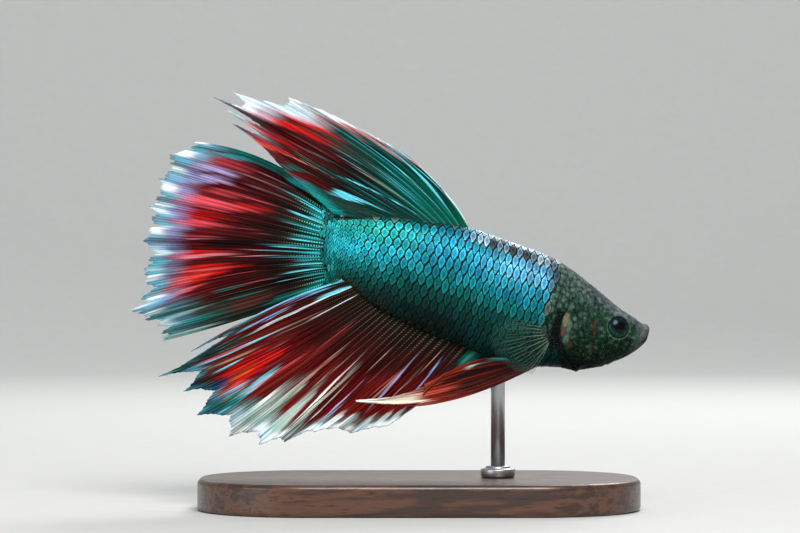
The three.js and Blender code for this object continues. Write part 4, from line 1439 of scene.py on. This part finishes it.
DORSAL = {
    "rays": DORSAL_RAYS, "bones": 14, "fineness": 40, "rows": 46, "seed": 8, "fringe": 0.006,
    "ragged": 0.02, "blurred": 0.3, "tip": lambda u: (236, 246, 250),
    "haze": lambda u: over((222, 150, 152), (196, 200, 220), eased(u, 0.25, 0.4)),
    "thick": 0.34, "thin": 0.28, "pleat": 0.1,
    "notch": lambda u: (
        (0.1 + 0.1 * eased(u, 0.5, 0.6)) * eased(u, 0.15, 0.35) * eased(u, 0.95, 0.86)
    ),
    "sideways": lambda u, v: -1.3 * u * v + 0.7 * v**1.5 * wave(3.5, u),
    "ground": dorsal_ground,
    "shine": lambda u, v: max(0.5 * eased(u + 0.28 * v, 0.68, 0.42), 0.3 * eased(u, 0.9, 0.94)),
    "fleck": lambda u, v: (*linear(120, 140, 120), 0.4 * eased(v, 0.16, 0.05)),
    "margin": lambda u: (
        0.885 + 0.06 * eased(u, 0.36, 0.5),
        0.95 * eased(u, 0.62, 0.5) + 0.3 * swell(u - 0.75, 0.1),
        0.03,
    ),
    "streaks": [
        *lengthwise("dark", (0.03, 0.09, 0.145, 0.2, 0.26, 0.32, 0.37), -0.1, 0.95, 0.011, 0.75),
        *lengthwise("turquoise", (0.06, 0.12, 0.175, 0.3), 0.1, 0.95, 0.006, 0.6),
        ("white", (0.0, 0.02), (0.0, 1.06), 0.02, 0.95),
        ("cyan", (0.215, 0.1), (0.165, 0.68), 0.012, 1.0),
        ("cyan", (0.10, 0.16), (0.13, 0.66), 0.0084, 1.0),
        ("cyan", (0.27, 0.2), (0.275, 0.8), 0.007, 0.9),
        ("turquoise", (0.34, 0.1), (0.35, 0.7), 0.007, 0.9),
        ("cyan", (0.53, 0.04), (0.74, 0.46), 0.012, 0.95),
        *lengthwise("turquoise", (0.44, 0.5, 0.58, 0.64, 0.72, 0.78), 0.0, 0.42, 0.006, 0.7),
        *lengthwise("black", (0.47, 0.54, 0.61, 0.69, 0.76), -0.1, 0.5, 0.008, 0.6),
        ("cyan", (0.82, 0.0), (0.935, 0.6), 0.02, 1.0),
        ("darkred", (0.075, 0.3), (0.085, 0.75), 0.02, 0.6),
        ("darkred", (0.9, 0.5), (0.93, 1.1), 0.022, 0.85),
        ("red", (0.38, 0.6), (0.42, 0.96), 0.03, 0.95),
        ("red", (0.45, 0.56), (0.54, 0.96), 0.034, 0.95),
        ("darkred", (0.52, 0.4), (0.60, 0.72), 0.03, 0.8),
        ("greyteal", (0.585, 0.4), (0.66, 0.86), 0.007, 0.85),
        ("green", (0.70, 0.2), (0.76, 0.62), 0.018, 0.9),
        ("red", (0.68, 0.6), (0.76, 0.98), 0.024, 0.8),
        ("red", (0.79, 0.5), (0.90, 1.02), 0.022, 0.9),
        ("coral", (0.82, 0.64), (0.90, 0.98), 0.012, 0.75),
        ("teal", (0.86, 0.5), (0.935, 1.0), 0.006, 0.8),
        ("beige", (0.76, 0.42), (0.84, 0.7), 0.006, 0.85),
        ("beige", (0.50, 0.14), (0.53, 0.46), 0.006, 0.8),
        *lengthwise("pink", (0.07, 0.12, 0.19, 0.25), 0.56, 0.9, 0.014, 0.8),
        *lengthwise("white", (0.03, 0.08, 0.13, 0.19, 0.25, 0.44, 0.5), 0.87, 1.08, 0.012, 0.8),
        *lengthwise("greyteal", (0.571, 0.714), 0.84, 1.3, 0.014, 0.9),
        *lengthwise("teal", (0.857,), 0.84, 1.3, 0.014, 0.9),
        *lengthwise("cyan", (0.71, 0.86), 0.86, 1.06, 0.009, 0.85),
        *fine_lines(35, "turquoise cyan dark dark", 26, (0.04, 0.6), (0.05, 0.5), 0.8),
        *fine_lines(36, "black greyteal brown red", 24, (0.5, 0.9), (0.3, 0.7), 0.7),
    ],
}

sheet_dye = fin_material("dyed_fin")
fin("dorsal_sail", DORSAL, sheet_dye, ["dorsal_fin"])
fin("tail_fan", TAIL, sheet_dye, ["tail_fin"])
fin("anal_skirt", ANAL, sheet_dye, ["anal_fin"])

# ---- Pelvic and pectoral fins -------------------------------------------------------------------
# The paired fins. The long pelvic blades are dyed like the other fins and end in a white thread;
# the small round pectoral fins are left almost clear. Each is pushed into the flank.

PELVIC_RAYS = [
    [(26.3, -7.6), (18.3, -7.9), (15.1, -15.2)],
    [(27.1, -7.6), (17.3, -15.2), (7.5, -17.6)],
    [(28.0, -7.4), (17.9, -16.4), (7.3, -17.8)],
    [(28.9, -7.2), (20.4, -15.1), (13.6, -16.8)],
]
PECTORAL_RAYS = [
    [(28.2, -2.6), (25.4, -2.4), (22.3, -2.9)],
    [(28.4, -3.1), (24.9, -3.4), (21.5, -4.6)],
    [(28.5, -3.6), (25.2, -4.6), (21.4, -6.5)],
    [(28.6, -4.0), (25.9, -6.1), (23.0, -8.2)],
    [(28.8, -4.5), (27.4, -7.0), (25.3, -9.0)],
    [(28.7, -4.9), (28.5, -7.0), (27.7, -8.9)],
]


def pelvic_ground(u, v):
    stops = [(0.0, (20, 12, 10)), (0.3, (86, 22, 12)), (0.6, (156, 44, 20)), (0.8, (170, 62, 34))]
    thread = eased(u, 0.27, 0.31) * eased(u, 0.86, 0.78) * eased(v, 0.56, 0.68)
    return over(ground_colour(stops, v), linear(240, 232, 214), thread)


PELVIC = {
    "rays": PELVIC_RAYS, "bones": 9, "fineness": 16, "rows": 40, "seed": 11, "fringe": 0.004,
    "ragged": 0.01, "blurred": 0.0, "haze": lambda u: (238, 228, 210),
    "tip": lambda u: (236, 246, 250),
    "thick": 0.3, "thin": 0.35, "pleat": 0.06,
    "notch": lambda u: 0.03 if 0.33 < u < 0.67 else 0.3,
    "sideways": lambda u, v: -1.3 - 3.0 * v + 1.2 * v * v - 0.5 * u * v,
    "ground": pelvic_ground,
    "shine": lambda u, v: 0.05,
    "fleck": lambda u, v: (*linear(176, 142, 120), 0.0),
    "margin": lambda u: (0.9, 0.8 * swell(u - 0.5, 0.2), 0.03),
    "streaks": [
        ("teal", (0.02, -0.1), (0.02, 0.3), 0.05, 0.9),
        ("mint", (0.06, 0.14), (0.07, 0.5), 0.03, 0.9),
        ("black", (0.16, -0.1), (0.16, 0.6), 0.05, 0.85),
        ("black", (0.4, -0.1), (0.42, 0.5), 0.04, 0.7),
        ("black", (0.62, -0.1), (0.64, 0.6), 0.04, 0.8),
        ("black", (0.86, -0.1), (0.9, 0.9), 0.05, 0.7),
        ("coral", (0.3, 0.36), (0.34, 0.64), 0.05, 0.6),
    ],
}
PECTORAL = {
    "rays": PECTORAL_RAYS, "ray": 0.04, "bones": 10, "fineness": 28, "rows": 30, "seed": 13,
    "fringe": 0.012, "ragged": 0.02, "blurred": 0.0,
    "haze": lambda u: (92, 122, 110), "tip": lambda u: (150, 170, 150),
    "thick": 0.2, "thin": 0.3, "pleat": 0.05,
    "notch": lambda u: 0.02,
    "sideways": lambda u, v: -3.7 - 2.6 * v - 0.5 * v * wave(0.5, u),
    "ground": lambda u, v: ground_colour([(0.0, (96, 116, 98)), (1.0, (62, 104, 92))], v),
    "shine": lambda u, v: 0.1,
    "fleck": lambda u, v: (*linear(150, 170, 150), 0.0),
    "margin": lambda u: (0.99, 0.0, 0.02),
    "streaks": [],
}

clear_dye = fin_material("clear_fin_resin", clear=0.05)
for side, side_name in ((-1, "right"), (1, "left")):
    fin("pelvic_blade_" + side_name, PELVIC, sheet_dye, ["pelvic_fin_" + side_name], side)
    nodes = ["pectoral_fin_" + side_name]
    fin("pectoral_paddle_" + side_name, PECTORAL, clear_dye, nodes, side)
